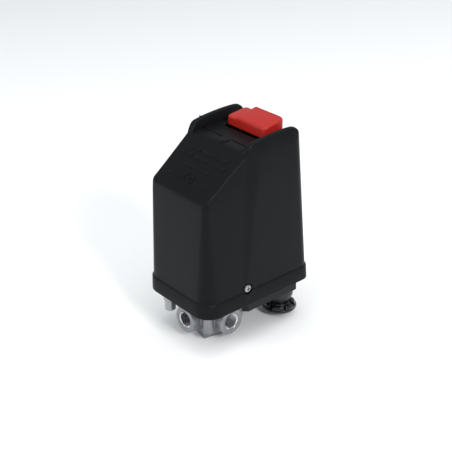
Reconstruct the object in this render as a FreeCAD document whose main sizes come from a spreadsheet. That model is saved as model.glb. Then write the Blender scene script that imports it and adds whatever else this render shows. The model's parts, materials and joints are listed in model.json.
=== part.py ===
import FreeCAD, Part
import math
import os
import re
import Sketcher

# Pressure switch of an air compressor, in millimetres.
# Origin: centre of the tank port's mouth, under the manifold.  +Z is up, the sloping front of the cover
# faces -Y, and the on/off knob sits at the top towards +Y.

SIZES = {
    # cover: a tapering shell over the whole mechanism
    "cover_width": 76,
    "cover_depth": 110,
    "cover_front": 35.3,
    "cover_base": 36,
    "cover_top": 170,
    "cover_wall": 2.4,
    "rim_height": 12,
    "rim_step": 0.8,
    "front_corner": 14,
    "front_corner_top": 1.2,
    "rear_corner": 9,
    "front_half_top": 29.5,
    "step_half_top": 32.5,
    "rear_half_top": 35.8,
    "step_place": 4.7,
    "front_lean": 5.4,
    "rear_lean": 12.2,
    "slope_low": 129.6,
    "slope_back": 6.2,
    "slope_high": 158,
    "shelf_top": 160.4,
    "shelf_half": 28.5,
    "shoulder_start": 9.5,
    "pocket_front": 33.5,
    "pocket_half": 23,
    "pocket_floor": 152,
    "sill_top": 157,
    "screw_place": 6.7,
    "screw_level": 50.6,
    # manifold: a die-cast block with three side ports over the tank port
    "port_level": 18,
    "port_reach": 26,
    "port_boss": 11.1,
    "port_hole": 5.72,
    "port_depth": 12,
    "tank_hole": 7.475,
    "tank_block": 24.8,
    "block_turn": -12,
    "passage": 4,
    "pillar": 4.9,
    "pillar_place": 14.5,
    "pillar_thread": 2.1,
    "clamp_hole": 2.7,
    "pillar_foot": 9.5,
    "flange_half": 23,
    "flange_base": 28,
    "flange_top": 34.5,
    # base moulding
    "floor_top": 40,
    "floor_gap": 0.4,
    "plinth_half": 30,
    "plinth_front": 9,
    "plinth_rear": 71,
    "notch_half": 26.4,
    "notch_rear": 24,
    "plinth_base": 23.5,
    "plinth_wall": 3,
    "guide_top": 48,
    "guide_radius": 15.8,
    "recess_radius": 14.2,
    "recess_top": 41.5,
    "lug_inner": 32,
    "lug_outer": 33.8,
    # pressure piston and main lever
    "piston_disc": 13.5,
    "piston_stem": 5,
    "stem_gap": 0.05,
    "lever_base": 55,
    "lever_top": 57.5,
    "pivot_back": 14,
    "pivot_level": 60,
    "pivot_radius": 2.5,
    "pin_gap": 0.05,
    # steel frame
    "frame_inner": 23,
    "frame_sheet": 2.5,
    "frame_front": 18.5,
    "frame_rear": 27,
    "frame_top": 104,
    "foot_reach": 31.8,
    "foot_screw": 28.6,
    # springs
    "range_mean": 9,
    "range_wire": 1.4,
    "range_bottom": 59.6,
    "plate_base": 90,
    "plate_sheet": 3,
    "range_stud": 3.95,
    "second_place": 17.5,
    "second_mean": 4.2,
    "second_wire": 0.7,
    "second_stud": 2.45,
    # contact block
    "pole_pitch": 17.5,
    "block_front": 27.5,
    "block_rear": 64.5,
    "block_base": 64,
    "slab_top": 68,
    "block_top": 84,
    "block_half": 26,
    "leg_outer": 32,
    "carrier_place": 46,
    "contact_reach": 8,
    "terminal_reach": 15,
    # knob and trip gear
    "knob_place": 45.8,
    "knob_half": 19.5,
    "knob_deep": 20,
    "knob_base": 161,
    "slider_half": 9,
    "slider_deep": 12,
    "slider_foot": 102,
    "trip_place": 22.6,
    "trip_level": 96,
    "trip_radius": 2,
    # unloader valve
    "unloader_x": -23.6,
    "unloader_y": -22,
    "unloader_gap": 5.7,
    "tube_hole": 2.05,
    # cable glands
    "gland_x": 18,
    "gland_y": 59,
    "gland_thread": 7.5,
    "gland_disc": 14.3,
    "gland_bore": 4.5,
    # further places
    "earth_x": -30.3,
    "earth_y": 24,
    "leg_screw": 29.8,
    "leg_inner": 27.5,
    "foot_front": -11,
    "foot_rear": 7,
    "front_line": -31.5,
    "sill_back": 60,
    "recess_face": 36.2,
    "mark_radius": 5.2,
    "mark_place": 14.2,
    "mark_rise": 0.6,
}

doc = FreeCAD.newDocument("pressure_switch")
sheet = doc.addObject("Spreadsheet::Sheet", "dims")
for row, (alias, value) in enumerate(SIZES.items(), start=1):
    sheet.set(f"A{row}", alias)
    sheet.set(f"B{row}", str(value))
    sheet.setAlias(f"B{row}", alias)
doc.recompute()

finished = []


def ref(expression):
    """Point every size named in an expression at its cell in the sheet."""

    def cell(word):
        return f"dims.{word[0]}" if word[0] in SIZES else word[0]

    return re.sub(r"[a-z][a-z_]*", cell, str(expression))


def bind(item, **properties):
    for name, expression in properties.items():
        item.setExpression(name.replace("__", "."), ref(expression))


def place(item, at):
    for axis, expression in zip("xyz", at):
        item.setExpression(f"Placement.Base.{axis}", ref(expression))
    return item


def finish(item, label):
    """Give a finished sub-part its own name."""
    item.Label = label
    finished.append(item)
    return item


def box(low, high):
    """A block between two corners."""
    item = doc.addObject("Part::Box", "Block")
    for side, a, b in zip(("Length", "Width", "Height"), low, high):
        item.setExpression(side, ref(f"({b}) - ({a})"))
    return place(item, low)


def rod(radius, length, at, along=(0, 0, 1)):
    """A cylinder that starts at a point and runs along a direction."""
    item = doc.addObject("Part::Cylinder", "Rod")
    bind(item, Radius=radius, Height=length)
    item.Placement.Rotation = FreeCAD.Rotation(FreeCAD.Vector(0, 0, 1), FreeCAD.Vector(*along))
    return place(item, at)


def fuse(pieces):
    """Pieces joined one after another."""
    joined = pieces[0]
    for piece in pieces[1:]:
        item = doc.addObject("Part::Fuse", "Joined")
        item.Base = joined
        item.Tool = piece
        joined = item
    return joined


def cut(solid, tools):
    """A solid with tools cut out of it, the tools joined first."""
    item = doc.addObject("Part::Cut", "Trimmed")
    item.Base = solid
    item.Tool = tools[0]
    if len(tools) > 1:
        item.Tool = doc.addObject("Part::MultiFuse", "Tools")
        item.Tool.Shapes = tools
    return item


def group(pieces):
    """Several like pieces that stay separate solids."""
    item = doc.addObject("Part::Compound", "Group")
    item.Links = pieces
    return item


def new_body():
    return doc.addObject("PartDesign::Body", "Piece")


def new_sketch(body, plane, lift):
    sketch = body.newObject("Sketcher::SketchObject", "Outline")
    support = [feature for feature in body.Origin.OriginFeatures if feature.Role == plane]
    sketch.AttachmentSupport = (support[0], [""])
    sketch.MapMode = "FlatFace"
    sketch.setExpression("AttachmentOffset.Base.z", ref(lift))
    return sketch


def pin_down(sketch, edge, end, point):
    """Hold one end of an edge at a place given by two expressions."""
    for kind, expression in zip(("DistanceX", "DistanceY"), point):
        index = sketch.addConstraint(Sketcher.Constraint(kind, edge, end, 1.0))
        sketch.setExpression(f"Constraints[{index}]", ref(expression))


def polygon(body, plane, points, lift="0"):
    """A closed outline with straight sides."""
    sketch = new_sketch(body, plane, lift)
    turn = 2 * math.pi / len(points)
    corners = []
    for k in range(len(points)):
        corners.append(FreeCAD.Vector(10 * math.cos(turn * k), 10 * math.sin(turn * k), 0))
    for k, corner in enumerate(corners):
        sketch.addGeometry(Part.LineSegment(corner, corners[(k + 1) % len(corners)]), False)
    for k in range(len(points)):
        sketch.addConstraint(Sketcher.Constraint("Coincident", k, 2, (k + 1) % len(points), 1))
    for k, point in enumerate(points):
        pin_down(sketch, k, 1, point)
    return sketch


def pad(body, sketch, length, reverse=False, middle=False):
    feature = body.newObject("PartDesign::Pad", "Pad")
    feature.Profile = sketch
    feature.Reversed = reverse
    feature.Midplane = middle
    bind(feature, Length=length)
    return feature


def prism(plane, points, lift, length, reverse=False, middle=False):
    """A plate or bar of one straight-sided outline."""
    body = new_body()
    pad(body, polygon(body, plane, points, lift), length, reverse, middle)
    return body


def turned(points, at=(0, 0, 0), along=(0, 0, 1)):
    """A lathe-turned piece: (radius, height) points revolved about its own axis."""
    body = new_body()
    feature = body.newObject("PartDesign::Revolution", "Turning")
    sketch = polygon(body, "XZ_Plane", points)
    feature.Profile = sketch
    feature.ReferenceAxis = (sketch, ["V_Axis"])
    feature.Angle = 360
    body.Tip = feature
    body.Placement.Rotation = FreeCAD.Rotation(FreeCAD.Vector(0, 0, 1), FreeCAD.Vector(*along))
    return place(body, at)


def ring(outer, inner, low, high, at=(0, 0, 0)):
    return turned([(inner, low), (outer, low), (outer, high), (inner, high)], at)


def rounded_edges(solid, radius, chosen):
    """Round the edges that a test picks out."""
    doc.recompute()
    item = doc.addObject("Part::Fillet", "Rounded")
    item.Base = solid
    numbers = [k for k, edge in enumerate(solid.Shape.Edges, start=1) if chosen(edge)]
    item.Edges = [(k, radius, radius) for k in numbers]
    return item


# ---------------------------------------------------------------- manifold

def unloader_clearance():
    """Round notch that lets the unloader valve past the manifold's corner."""
    return rod("unloader_gap", 12, ("unloader_x", "unloader_y", "flange_base - 2"))


def pillar_spots():
    """The four places of the clamping screws."""
    return [(f"{x}*pillar_place", f"{y}*pillar_place") for x in (1, -1) for y in (1, -1)]


def make_manifold():
    """Die-cast block: three side ports, the tank port below, four screw pillars, a flange for the rubber."""
    corners = [("-tank_block/2", "-tank_block/2"), ("tank_block/2", "-tank_block/2")]
    corners += [("tank_block/2", "tank_block/2"), ("-tank_block/2", "tank_block/2")]
    block = prism("XY_Plane", corners, 0, "port_level")
    block.Placement.Rotation = FreeCAD.Rotation(FreeCAD.Vector(0, 0, 1), SIZES["block_turn"])
    solids = [
        block,
        rod("tank_block/2 - 1", "flange_base - pillar/2", (0, 0, "pillar/2")),
        rod("port_boss", "port_reach + 8", (0, 8, "port_level"), (0, -1, 0)),
        rod("port_boss", "port_reach*2", ("-port_reach", 0, "port_level"), (1, 0, 0)),
        box(("-flange_half", "-flange_half", "flange_base"), ("flange_half", "flange_half", "flange_top")),
    ]
    holes = [
        rod("tank_hole", "port_depth + 1", (0, 0, -1)),
        rod("passage", "flange_top", (0, 0, 1)),
        rod("piston_disc", "4", (0, 0, "flange_top - 2")),
        rod("passage - 0.5", "port_reach - 2", (0, 0, "port_level"), (0, -1, 0)),
        rod("passage - 0.5", "port_reach*2 - 4", ("2 - port_reach", 0, "port_level"), (1, 0, 0)),
    ]
    for side in ((0, -1, 0), (1, 0, 0), (-1, 0, 0)):
        x, y = side[0], side[1]
        mouth = (f"{x}*(port_reach - port_depth)", f"{y}*(port_reach - port_depth)", "port_level")
        holes.append(rod("port_hole", "port_depth + 1", mouth, side))
    for spot in pillar_spots():
        solids.append(rod("pillar", "flange_base - pillar_foot", (*spot, "pillar_foot")))
        holes.append(rod("pillar_thread", "flange_top - pillar_foot - 6", (*spot, "pillar_foot + 8")))
    holes.append(unloader_clearance())
    return finish(cut(fuse(solids), holes), "manifold")


def make_diaphragm():
    """Rubber sheet clamped between the manifold and the base."""
    disc = box(
        ("-flange_half", "-flange_half", "flange_top + 0.05"),
        ("flange_half", "flange_half", "cover_base"),
    )
    holes = [rod("clamp_hole", 3, (*spot, "flange_top - 1")) for spot in pillar_spots()]
    holes.append(unloader_clearance())
    return finish(cut(disc, holes), "diaphragm")


def pan_screw(head, head_height, shank, length, at, along=(0, 0, 1)):
    """Pan-head screw standing on its shank's end, head on top, cross recess as a small cone."""
    dome = f"{length} + {head_height}"
    return turned(
        [
            (0, 0), (shank, 0), (shank, length), (head, length), (head, f"{dome} - {head_height}*0.4"),
            (f"{head}*0.6", dome), (f"{head}*0.3", dome), (0, f"{dome} - {head_height}*0.5"),
        ],
        at, along,
    )


def make_manifold_screws():
    """Four screws through the base and the diaphragm into the manifold's pillars."""
    length = "floor_top - pillar_foot - 9"
    shank = "pillar_thread - stem_gap"
    screws = [pan_screw(4.1, 3.4, shank, length, (*spot, "pillar_foot + 9")) for spot in pillar_spots()]
    return finish(group(screws), "manifold_screws")


# ---------------------------------------------------------------- base and cover

def make_base():
    """Black moulding: floor, piston guide, wiring well with two cable holes, lugs for the cover screws."""
    floor = prism(
        "XY_Plane",
        rounded_plan("cover_width/2 - rim_step - cover_wall - floor_gap",
                     "-cover_front + rim_step + cover_wall + floor_gap",
                     "cover_depth - cover_front - rim_step - cover_wall - floor_gap"),
        "cover_base", "floor_top - cover_base",
    )
    well = prism(
        "XY_Plane",
        [
            ("plinth_half - 5", "plinth_front"), ("plinth_half", "plinth_front + 5"),
            ("plinth_half", "plinth_rear - 5"), ("plinth_half - 5", "plinth_rear"),
            ("5 - plinth_half", "plinth_rear"), ("-plinth_half", "plinth_rear - 5"),
            ("-plinth_half", "plinth_front + 5"), ("5 - plinth_half", "plinth_front"),
        ],
        "plinth_base", "cover_base - plinth_base",
    )
    notch = box(
        ("-notch_half", "plinth_front - 1", "plinth_base - 1"),
        ("notch_half", "notch_rear", "cover_base"),
    )
    solids = [floor, cut(well, [notch]), rod("guide_radius", "guide_top - floor_top", (0, 0, "floor_top"))]
    for low, high in (("lug_inner", "lug_outer"), ("-lug_outer", "-lug_inner")):
        lug = box((low, "screw_place - 5", "floor_top"), (high, "screw_place + 5", "screw_level + 5"))
        solids.append(lug)
    holes = [
        box(("plinth_wall - plinth_half", "notch_rear + plinth_wall", "plinth_base + plinth_wall"),
            ("plinth_half - plinth_wall", "plinth_rear - plinth_wall", "floor_top + 1")),
        rod("recess_radius", "recess_top - cover_base", (0, 0, "cover_base")),
        rod("piston_stem + stem_gap", "guide_top", (0, 0, "cover_base")),
        rod(5, "floor_top", ("unloader_x", "unloader_y", "plinth_base")),
        rod(1.6, 12, ("earth_x", "earth_y", "cover_base - 2")),
    ]
    for spot in pillar_spots():
        holes.append(rod("clamp_hole - 0.1", 12, (*spot, "cover_base - 4")))
    for side in (1, -1):
        entry = (f"{side}*gland_x", "gland_y", "plinth_base - 1")
        holes.append(rod("gland_thread + 0.3", "plinth_wall + 2", entry))
        holes.append(rod(1.7, 8, (f"{side}*(lug_inner - 2)", "screw_place", "screw_level"), (side, 0, 0)))
        holes.append(rod(1.7, 8, (f"{side}*leg_screw", "carrier_place", "cover_base - 1")))
        for y in ("foot_front", "foot_rear"):
            holes.append(rod(2.1, 8, (f"{side}*foot_screw", y, "cover_base - 1")))
    return finish(cut(fuse(solids), holes), "base")


def rounded_plan(half, front, rear, front_cut="front_corner - 2.5", rear_cut="rear_corner - 1.5"):
    """Plan of the floor, its corners cut twice so that they follow the cover's rounded corners."""
    right = []
    for edge, direction, size in ((front, 1, front_cut), (rear, -1, rear_cut)):
        corner = [
            (f"{half} - ({size})", edge),
            (f"{half} - ({size})*0.5", f"{edge} + {direction}*({size})*0.134"),
            (f"{half} - ({size})*0.134", f"{edge} + {direction}*({size})*0.5"),
            (half, f"{edge} + {direction}*({size})"),
        ]
        right += corner if direction == 1 else corner[::-1]
    left = [(f"-({x})", y) for x, y in right[::-1]]
    return right + left


def plan_wire(points, radii, level):
    """Closed wire at one height, with an arc of the stated radius at each corner that has one."""
    edges = []
    ends = []
    count = len(points)
    for k, (corner, radius) in enumerate(zip(points, radii)):
        here = FreeCAD.Vector(*corner, level)
        before = (FreeCAD.Vector(*points[k - 1], level) - here).normalize()
        after = (FreeCAD.Vector(*points[(k + 1) % count], level) - here).normalize()
        if not radius:
            ends.append((here, here, None))
            continue
        half_angle = before.getAngle(after) / 2
        reach = radius / math.tan(half_angle)
        bisector = (before + after).normalize()
        middle = here + bisector * (radius / math.sin(half_angle) - radius)
        ends.append((here + before * reach, here + after * reach, middle))
    for k, (start, end, middle) in enumerate(ends):
        if middle is not None:
            edges.append(Part.Arc(start, middle, end).toShape())
        edges.append(Part.LineSegment(end, ends[(k + 1) % count][0]).toShape())
    return Part.Wire(edges)


def cover_shell(label, inset):
    """The cover's closed outer form, or with the wall as inset its cavity, before the top is shaped."""
    s = SIZES
    low = s["cover_base"]
    high = s["cover_top"] + 2
    half = s["cover_width"] / 2 - s["rim_step"] - inset
    front = -s["cover_front"] + s["rim_step"] + inset
    rear = s["cover_depth"] - s["cover_front"] - s["rim_step"] - inset
    step = s["step_place"]

    def front_plan(level, front_half, back_half, lean, radius):
        points = [(-front_half, front + lean), (front_half, front + lean)]
        points += [(back_half, step), (-back_half, step)]
        return plan_wire(points, (radius, radius, 0, 0), level)

    def rear_plan(level, half_width, lean, radius):
        points = [(-half_width, step), (half_width, step)]
        points += [(half_width, rear - lean), (-half_width, rear - lean)]
        return plan_wire(points, (0, 0, radius, radius), level)

    front_radius = s["front_corner"] - inset
    rear_radius = s["rear_corner"] - inset
    front_half = s["front_half_top"] - inset
    step_half = s["step_half_top"] - inset
    front_foot = front_plan(low, half, half, 0, front_radius)
    front_head = front_plan(high, front_half, step_half, s["front_lean"], s["front_corner_top"])
    rear_foot = rear_plan(low, half, 0, rear_radius)
    rear_head = rear_plan(high, s["rear_half_top"] - inset, s["rear_lean"], rear_radius)
    front_part = Part.makeLoft([front_foot, front_head], True, True)
    rear_part = Part.makeLoft([rear_foot, rear_head], True, True)
    item = doc.addObject("Part::Feature", label)
    item.Shape = front_part.fuse(rear_part).removeSplitter()
    return item


def side_rods(radius, length, start):
    """A rod outwards through each side wall, at the cover screws."""
    rods = []
    for side in (1, -1):
        rods.append(rod(radius, length, (f"{side}*{start}", "screw_place", "screw_level"), (side, 0, 0)))
    return rods


def make_cover():
    """Black moulded cover: rim, sloping front, shoulders beside the knob pocket, a screw hole a side."""
    outer = cover_shell("Outside", 0)
    rim = prism(
        "XY_Plane",
        rounded_plan("cover_width/2", "-cover_front", "cover_depth - cover_front",
                     "front_corner", "rear_corner"),
        "cover_base", "rim_height",
    )
    above = prism(
        "YZ_Plane",
        [
            ("-cover_front - 5", "slope_low - 2.6"), ("front_line", "slope_low"),
            ("slope_back", "slope_high"),
            ("slope_back + 1.5", "cover_top - 5.5"), ("slope_back + 5", "cover_top - 3"),
            ("slope_back + 19", "cover_top - 1.2"), ("slope_back + 38", "cover_top - 0.2"),
            ("slope_back + 48", "cover_top - 0.8"), ("slope_back + 54", "cover_top - 6"),
            ("slope_back + 56", "cover_top - 14"), ("cover_depth", "cover_top - 14"),
            ("cover_depth", "cover_top + 20"), ("-cover_front - 5", "cover_top + 20"),
        ],
        0, "cover_width + 10", middle=True,
    )
    shelf = prism(
        "XZ_Plane",
        [
            ("-shelf_half", "shelf_top"), ("shelf_half", "shelf_top"),
            ("shelf_half + 1.5", "cover_top + 5"), ("-shelf_half - 1.5", "cover_top + 5"),
        ],
        "-pocket_front - 1", "pocket_front + 1 - shoulder_start + 8",
    )
    knob_pocket = box(
        ("-pocket_half", "pocket_front", "pocket_floor"),
        ("pocket_half", "cover_depth", "cover_top + 5"),
    )
    sill = box(
        ("-pocket_half - 1", "sill_back", "pocket_floor - 1"),
        ("pocket_half + 1", "sill_back + cover_wall", "sill_top"),
    )
    slopes = []
    for side in (1, -1):
        slopes.append(prism(
            "XZ_Plane",
            [
                (f"{side}*(rear_half_top + 4)", "cover_top - 18"),
                (f"{side}*(rear_half_top - 3.4)", "cover_top + 1"),
                (f"{side}*(rear_half_top + 4)", "cover_top + 1"),
            ],
            "-cover_depth", "cover_depth - slope_back - 6",
        ))
    recesses = side_rods(4.6, 4, "recess_face")
    screw_holes = side_rods(1.8, 10, "lug_inner")
    aperture = box(
        ("-slider_half - 0.4", "knob_place - slider_deep/2 - 0.4", "pocket_floor - 5"),
        ("slider_half + 0.4", "knob_place + slider_deep/2 + 0.4", "pocket_floor + 1"),
    )
    inside = cover_shell("Inside", SIZES["cover_wall"])
    inside_top = prism(
        "YZ_Plane",
        [
            ("-cover_front - 5", "slope_low - 5.6"), ("front_line + cover_wall", "slope_low - 1.3"),
            ("slope_back", "slope_high - 3.2"), ("slope_back + 3", "shelf_top - cover_wall"),
            ("pocket_front - cover_wall", "shelf_top - cover_wall"),
            ("pocket_front - cover_wall", "pocket_floor - cover_wall"),
            ("cover_depth", "pocket_floor - cover_wall"),
            ("cover_depth", "cover_top + 20"), ("-cover_front - 5", "cover_top + 20"),
        ],
        0, "cover_width + 10", middle=True,
    )
    cavity = cut(inside, [inside_top])
    shell = cut(fuse([outer, rim]), [above, shelf, knob_pocket] + slopes + recesses)
    walled = fuse([shell, sill])
    marks = [rod("mark_radius", "mark_rise", (0, "mark_place", "shelf_top"))]
    for low, high in (("-shelf_half + 0.5", "-mark_radius - 1"), ("mark_radius + 1", "shelf_half - 0.5")):
        marks.append(box(
            (low, "mark_place + 3.2", "shelf_top"), (high, "mark_place + 4.6", "shelf_top + mark_rise")
        ))
    return finish(cut(fuse([walled] + marks), [cavity, aperture] + screw_holes), "cover")


def make_cover_screws():
    """One pan-head screw a side, through the cover into the base's lugs."""
    screws = []
    for side in (1, -1):
        start = (f"{side}*(lug_inner - 1)", "screw_place", "screw_level")
        screws.append(pan_screw(3.1, 1.7, 1.65, "recess_face - lug_inner + 1", start, (side, 0, 0)))
    return finish(group(screws), "cover_screws")


# ---------------------------------------------------------------- frame, piston and lever

def side_box(side, inner, outer, low, high):
    """A block on one side of the middle plane, between two distances from it."""
    near, far = (f"{inner}", f"{outer}") if side == 1 else (f"-({outer})", f"-({inner})")
    return box((near, *low), (far, *high))


def make_frame():
    """Folded steel bracket that carries the lever's pin, the trip lever's pin and both adjusting screws."""
    plates = []
    start = "-frame_inner*1.5"
    span = "frame_inner*3"
    holes = [
        rod("pivot_radius + pin_gap", span, (start, "-pivot_back", "pivot_level"), (1, 0, 0)),
        rod("trip_radius + pin_gap", span, (start, "trip_place", "trip_level"), (1, 0, 0)),
        rod("range_stud + 0.15", 10, (0, 0, "frame_top - 5")),
        rod("second_stud + 0.15", 10, (0, "second_place", "frame_top - 5")),
        box((12.8, 6.5, "frame_top - 5"), (19.6, 15.5, "frame_top + 1")),
    ]
    plates.append(box(
        ("-frame_inner - frame_sheet", "-frame_front", "frame_top - frame_sheet"),
        ("frame_inner + frame_sheet", "frame_rear", "frame_top"),
    ))
    for side in (1, -1):
        plates.append(side_box(side, "frame_inner", "frame_inner + frame_sheet",
                               ("-frame_front", "floor_top"), ("frame_rear", "frame_top")))
        for y in ("foot_front", "foot_rear"):
            plates.append(side_box(side, "frame_inner", "foot_reach",
                                   (f"{y} - 6", "floor_top"), (f"{y} + 6", "floor_top + frame_sheet")))
            holes.append(rod(1.7, 10, (f"{side}*foot_screw", y, "floor_top - 2")))
        window_low = ("-frame_front + 9", "pivot_level + 8")
        window_high = ("frame_rear - 10", "trip_level - 8")
        holes.append(side_box(side, "frame_inner - 1", "frame_inner + 4", window_low, window_high))
    return finish(cut(fuse(plates), holes), "frame")


def make_frame_screws():
    """Four screws from below, through the base into the frame's feet."""
    screws = []
    length = "floor_top + frame_sheet - cover_base"
    for side in (1, -1):
        for y in ("foot_front", "foot_rear"):
            start = (f"{side}*foot_screw", y, "floor_top + frame_sheet")
            screws.append(pan_screw(3.8, 2.4, 1.65, length, start, (0, 0, -1)))
    return finish(group(screws), "frame_screws")


def make_piston():
    """Pressure piston: disc on the diaphragm, stem through the guide, rounded nose under the lever."""
    return finish(turned([
        (0, "cover_base + 0.05"), ("piston_disc", "cover_base + 0.05"), ("piston_disc", "cover_base + 3.2"),
        ("piston_stem", "cover_base + 3.2"), ("piston_stem", "lever_base - 2.2"),
        (1.5, "lever_base - 0.3"), (0, "lever_base - 0.3"),
    ]), "piston")


def make_lever():
    """Main lever: pressed plate with two pin ears and a finger over the unloader valve's pin."""
    plate = prism(
        "XY_Plane",
        [
            (-29, -24.5), (22.3, -24.5), (22.3, -8), (15.5, -4), (15.5, 16), (11, 19), (11, 50),
            (-11, 50), (-11, 19), (-15.5, 16), (-15.5, -4), (-22.3, -8), (-22.3, -19.3), (-29, -19.3),
        ],
        "lever_base", "lever_top - lever_base",
    )
    ears = []
    for low, high in ((19.8, 22.3), (-22.3, -19.8)):
        ear = box((low, "-pivot_back - 4.2", "lever_base"), (high, "-pivot_back + 5", "pivot_level + 4.5"))
        ears.append(ear)
    pin_hole = rod("pivot_radius + pin_gap", 50, (-25, "-pivot_back", "pivot_level"), (1, 0, 0))
    return finish(cut(fuse([plate] + ears), [pin_hole]), "main_lever")


def make_lever_pin():
    pin = turned(
        [
            (0, "-frame_inner - 5.5"), ("pivot_radius - 0.4", "-frame_inner - 5.5"),
            ("pivot_radius", "-frame_inner - 5.1"),
            ("pivot_radius", "frame_inner + 2.6"), ("pivot_radius + 1.2", "frame_inner + 2.6"),
            ("pivot_radius + 1.2", "frame_inner + 4"), (0, "frame_inner + 4"),
        ],
        (0, "-pivot_back", "pivot_level"), (1, 0, 0),
    )
    return finish(pin, "lever_pin")


def make_spring_seats():
    """Pressed cups on the lever under the two springs."""
    seat = turned([
        (0, "lever_top + 0.05"), ("range_mean + 2.3", "lever_top + 0.05"),
        ("range_mean + 2.3", "range_bottom + 0.6"),
        ("range_mean + 1.6", "range_bottom + 0.6"), ("range_mean + 1.6", "range_bottom - 0.75"),
        ("range_mean - 2.5", "range_bottom - 0.75"), ("range_mean - 3", "range_bottom + 1"),
        (0, "range_bottom + 1"),
    ])
    finish(seat, "range_spring_seat")
    second = turned([
        (0, "lever_top + 0.05"), (5.6, "lever_top + 0.05"), (5.6, "range_bottom - 0.75"),
        (2.9, "range_bottom - 0.75"), (2.6, "range_bottom + 1"), (0, "range_bottom + 1"),
    ], (0, "second_place", 0))
    finish(second, "differential_spring_seat")


# ---------------------------------------------------------------- springs and adjusting screws

def coil(radius, wire, low, high, turns, at):
    """Helical spring of round wire between two heights."""
    travel = high - low - 2 * wire
    helix = Part.makeHelix(travel / turns, travel, radius)
    section = Part.Wire(Part.makeCircle(wire, FreeCAD.Vector(radius, 0, 0), FreeCAD.Vector(0, 1, 0)))
    item = doc.addObject("Part::Feature", "Coil")
    item.Shape = Part.Wire(helix.Edges).makePipeShell([section], True, True)
    item.Placement.Base = FreeCAD.Vector(at[0], at[1], low + wire)
    return item


def make_springs():
    """Range and differential springs, contact springs, and the unloader's return spring."""
    s = SIZES
    foot = s["range_bottom"] - 0.65
    head = s["plate_base"] - 0.1
    finish(coil(s["range_mean"], s["range_wire"], foot, head, 6.5, (0, 0)), "range_spring")
    second = coil(s["second_mean"], s["second_wire"], foot, head, 11, (0, s["second_place"]))
    finish(second, "differential_spring")
    bridge_top = s["slab_top"] + 5.1
    window_top = s["slab_top"] + 11.9
    contact = []
    for pole in (-1, 0, 1):
        spot = (pole * s["pole_pitch"], s["carrier_place"])
        contact.append(coil(2.2, 0.35, bridge_top, window_top, 5, spot))
    finish(group(contact), "contact_springs")
    finish(coil(2.7, 0.35, 46.2, 52.2, 5, (s["unloader_x"], s["unloader_y"])), "unloader_spring")


def adjusting_screw(stud, head, head_height, y, label):
    """Hexagon-head screw that hangs in the frame's top plate and threads through its spring plate."""
    low = "range_bottom + 4"
    shank = turned(
        [
            (0, low), (f"{stud} - 0.5", low), (stud, f"{low} + 0.5"),
            (stud, "frame_top + 0.2"), (0, "frame_top + 0.2"),
        ],
        (0, y, 0),
    )
    turns = [math.radians(60 * k) for k in range(6)]
    corners = [(f"{head}*{math.cos(turn):.5f}", f"{head}*{math.sin(turn):.5f}") for turn in turns]
    hexagon = place(prism("XY_Plane", corners, "frame_top + 0.2", head_height), (0, y, 0))
    return finish(fuse([shank, hexagon]), label)


def make_adjusters():
    """Both adjusting screws and the plates that they pull along the springs."""
    adjusting_screw("range_stud", 7.5, 5.3, 0, "range_screw")
    adjusting_screw("second_stud", 4.6, 3.5, "second_place", "differential_screw")
    plate = box(
        ("-frame_inner + 0.4", -8.5, "plate_base"),
        ("frame_inner - 0.4", 7, "plate_base + plate_sheet"),
    )
    collar = rod(7, 2.5, (0, 0, "plate_base + plate_sheet"))
    thread = rod("range_stud + stem_gap", 10, (0, 0, "plate_base - 1"))
    finish(cut(fuse([plate, collar]), [thread]), "range_spring_plate")
    small = box(("-frame_inner + 0.4", 12, "plate_base"), (8, 23, "plate_base + plate_sheet"))
    hole = rod("second_stud + stem_gap", 10, (0, "second_place", "plate_base - 1"))
    finish(cut(small, [hole]), "differential_spring_plate")


# ---------------------------------------------------------------- contact block

def poles():
    return [f"{k}*pole_pitch" for k in (-1, 0, 1)]


def make_contact_block():
    """Moulded block for three poles on two legs, with slots for the carrier's feet."""
    slab = box(("-leg_outer", "block_front", "block_base"), ("leg_outer", "block_rear", "slab_top"))
    solids = [slab]
    holes = []
    for side in (1, -1):
        solids.append(side_box(side, "leg_inner", "leg_outer",
                               ("carrier_place - 8", "floor_top"), ("carrier_place + 8", "block_base + 1")))
        for inner, outer in (("block_half - 2", "block_half"), ("pole_pitch/2 - 1", "pole_pitch/2 + 1")):
            solids.append(side_box(side, inner, outer,
                                   ("block_front", "slab_top"), ("block_rear", "block_top")))
        slot_low = ("carrier_place - 3.5", "block_base - 1")
        slot_high = ("carrier_place + 3.5", "block_top + 1")
        holes.append(side_box(side, "pole_pitch/2 - 1.8", "pole_pitch/2 + 1.8", slot_low, slot_high))
        holes.append(rod(2, 40, (f"{side}*leg_screw", "carrier_place", "floor_top - 1")))
    return finish(cut(fuse(solids), holes), "contact_block")


def make_block_screws():
    """One long screw down each leg of the contact block."""
    screws = []
    for side in (1, -1):
        foot = (f"{side}*leg_screw", "carrier_place", "cover_base")
        screws.append(pan_screw(3.6, 2.4, 1.65, "slab_top - cover_base", foot))
    return finish(group(screws), "contact_block_screws")


def make_fixed_contacts():
    """Brass strips with a contact rivet inside and a terminal screw hole outside, a set for each side."""
    for side, label in ((-1, "line_contacts"), (1, "load_contacts")):
        strips = []
        for x in poles():
            inner = f"carrier_place + {side}*6"
            outer = f"carrier_place + {side}*(terminal_reach + 3)"
            near, far = (outer, inner) if side == -1 else (inner, outer)
            strip = box((f"{x} - 3.5", near, "slab_top + 0.05"), (f"{x} + 3.5", far, "slab_top + 1.6"))
            rivet = rod(2, 2.4, (x, f"carrier_place + {side}*contact_reach", "slab_top + 0.05"))
            hole = rod(1.75, 5, (x, f"carrier_place + {side}*terminal_reach", "slab_top - 1"))
            strips.append(cut(fuse([strip, rivet]), [hole]))
        finish(group(strips), label)


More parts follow.
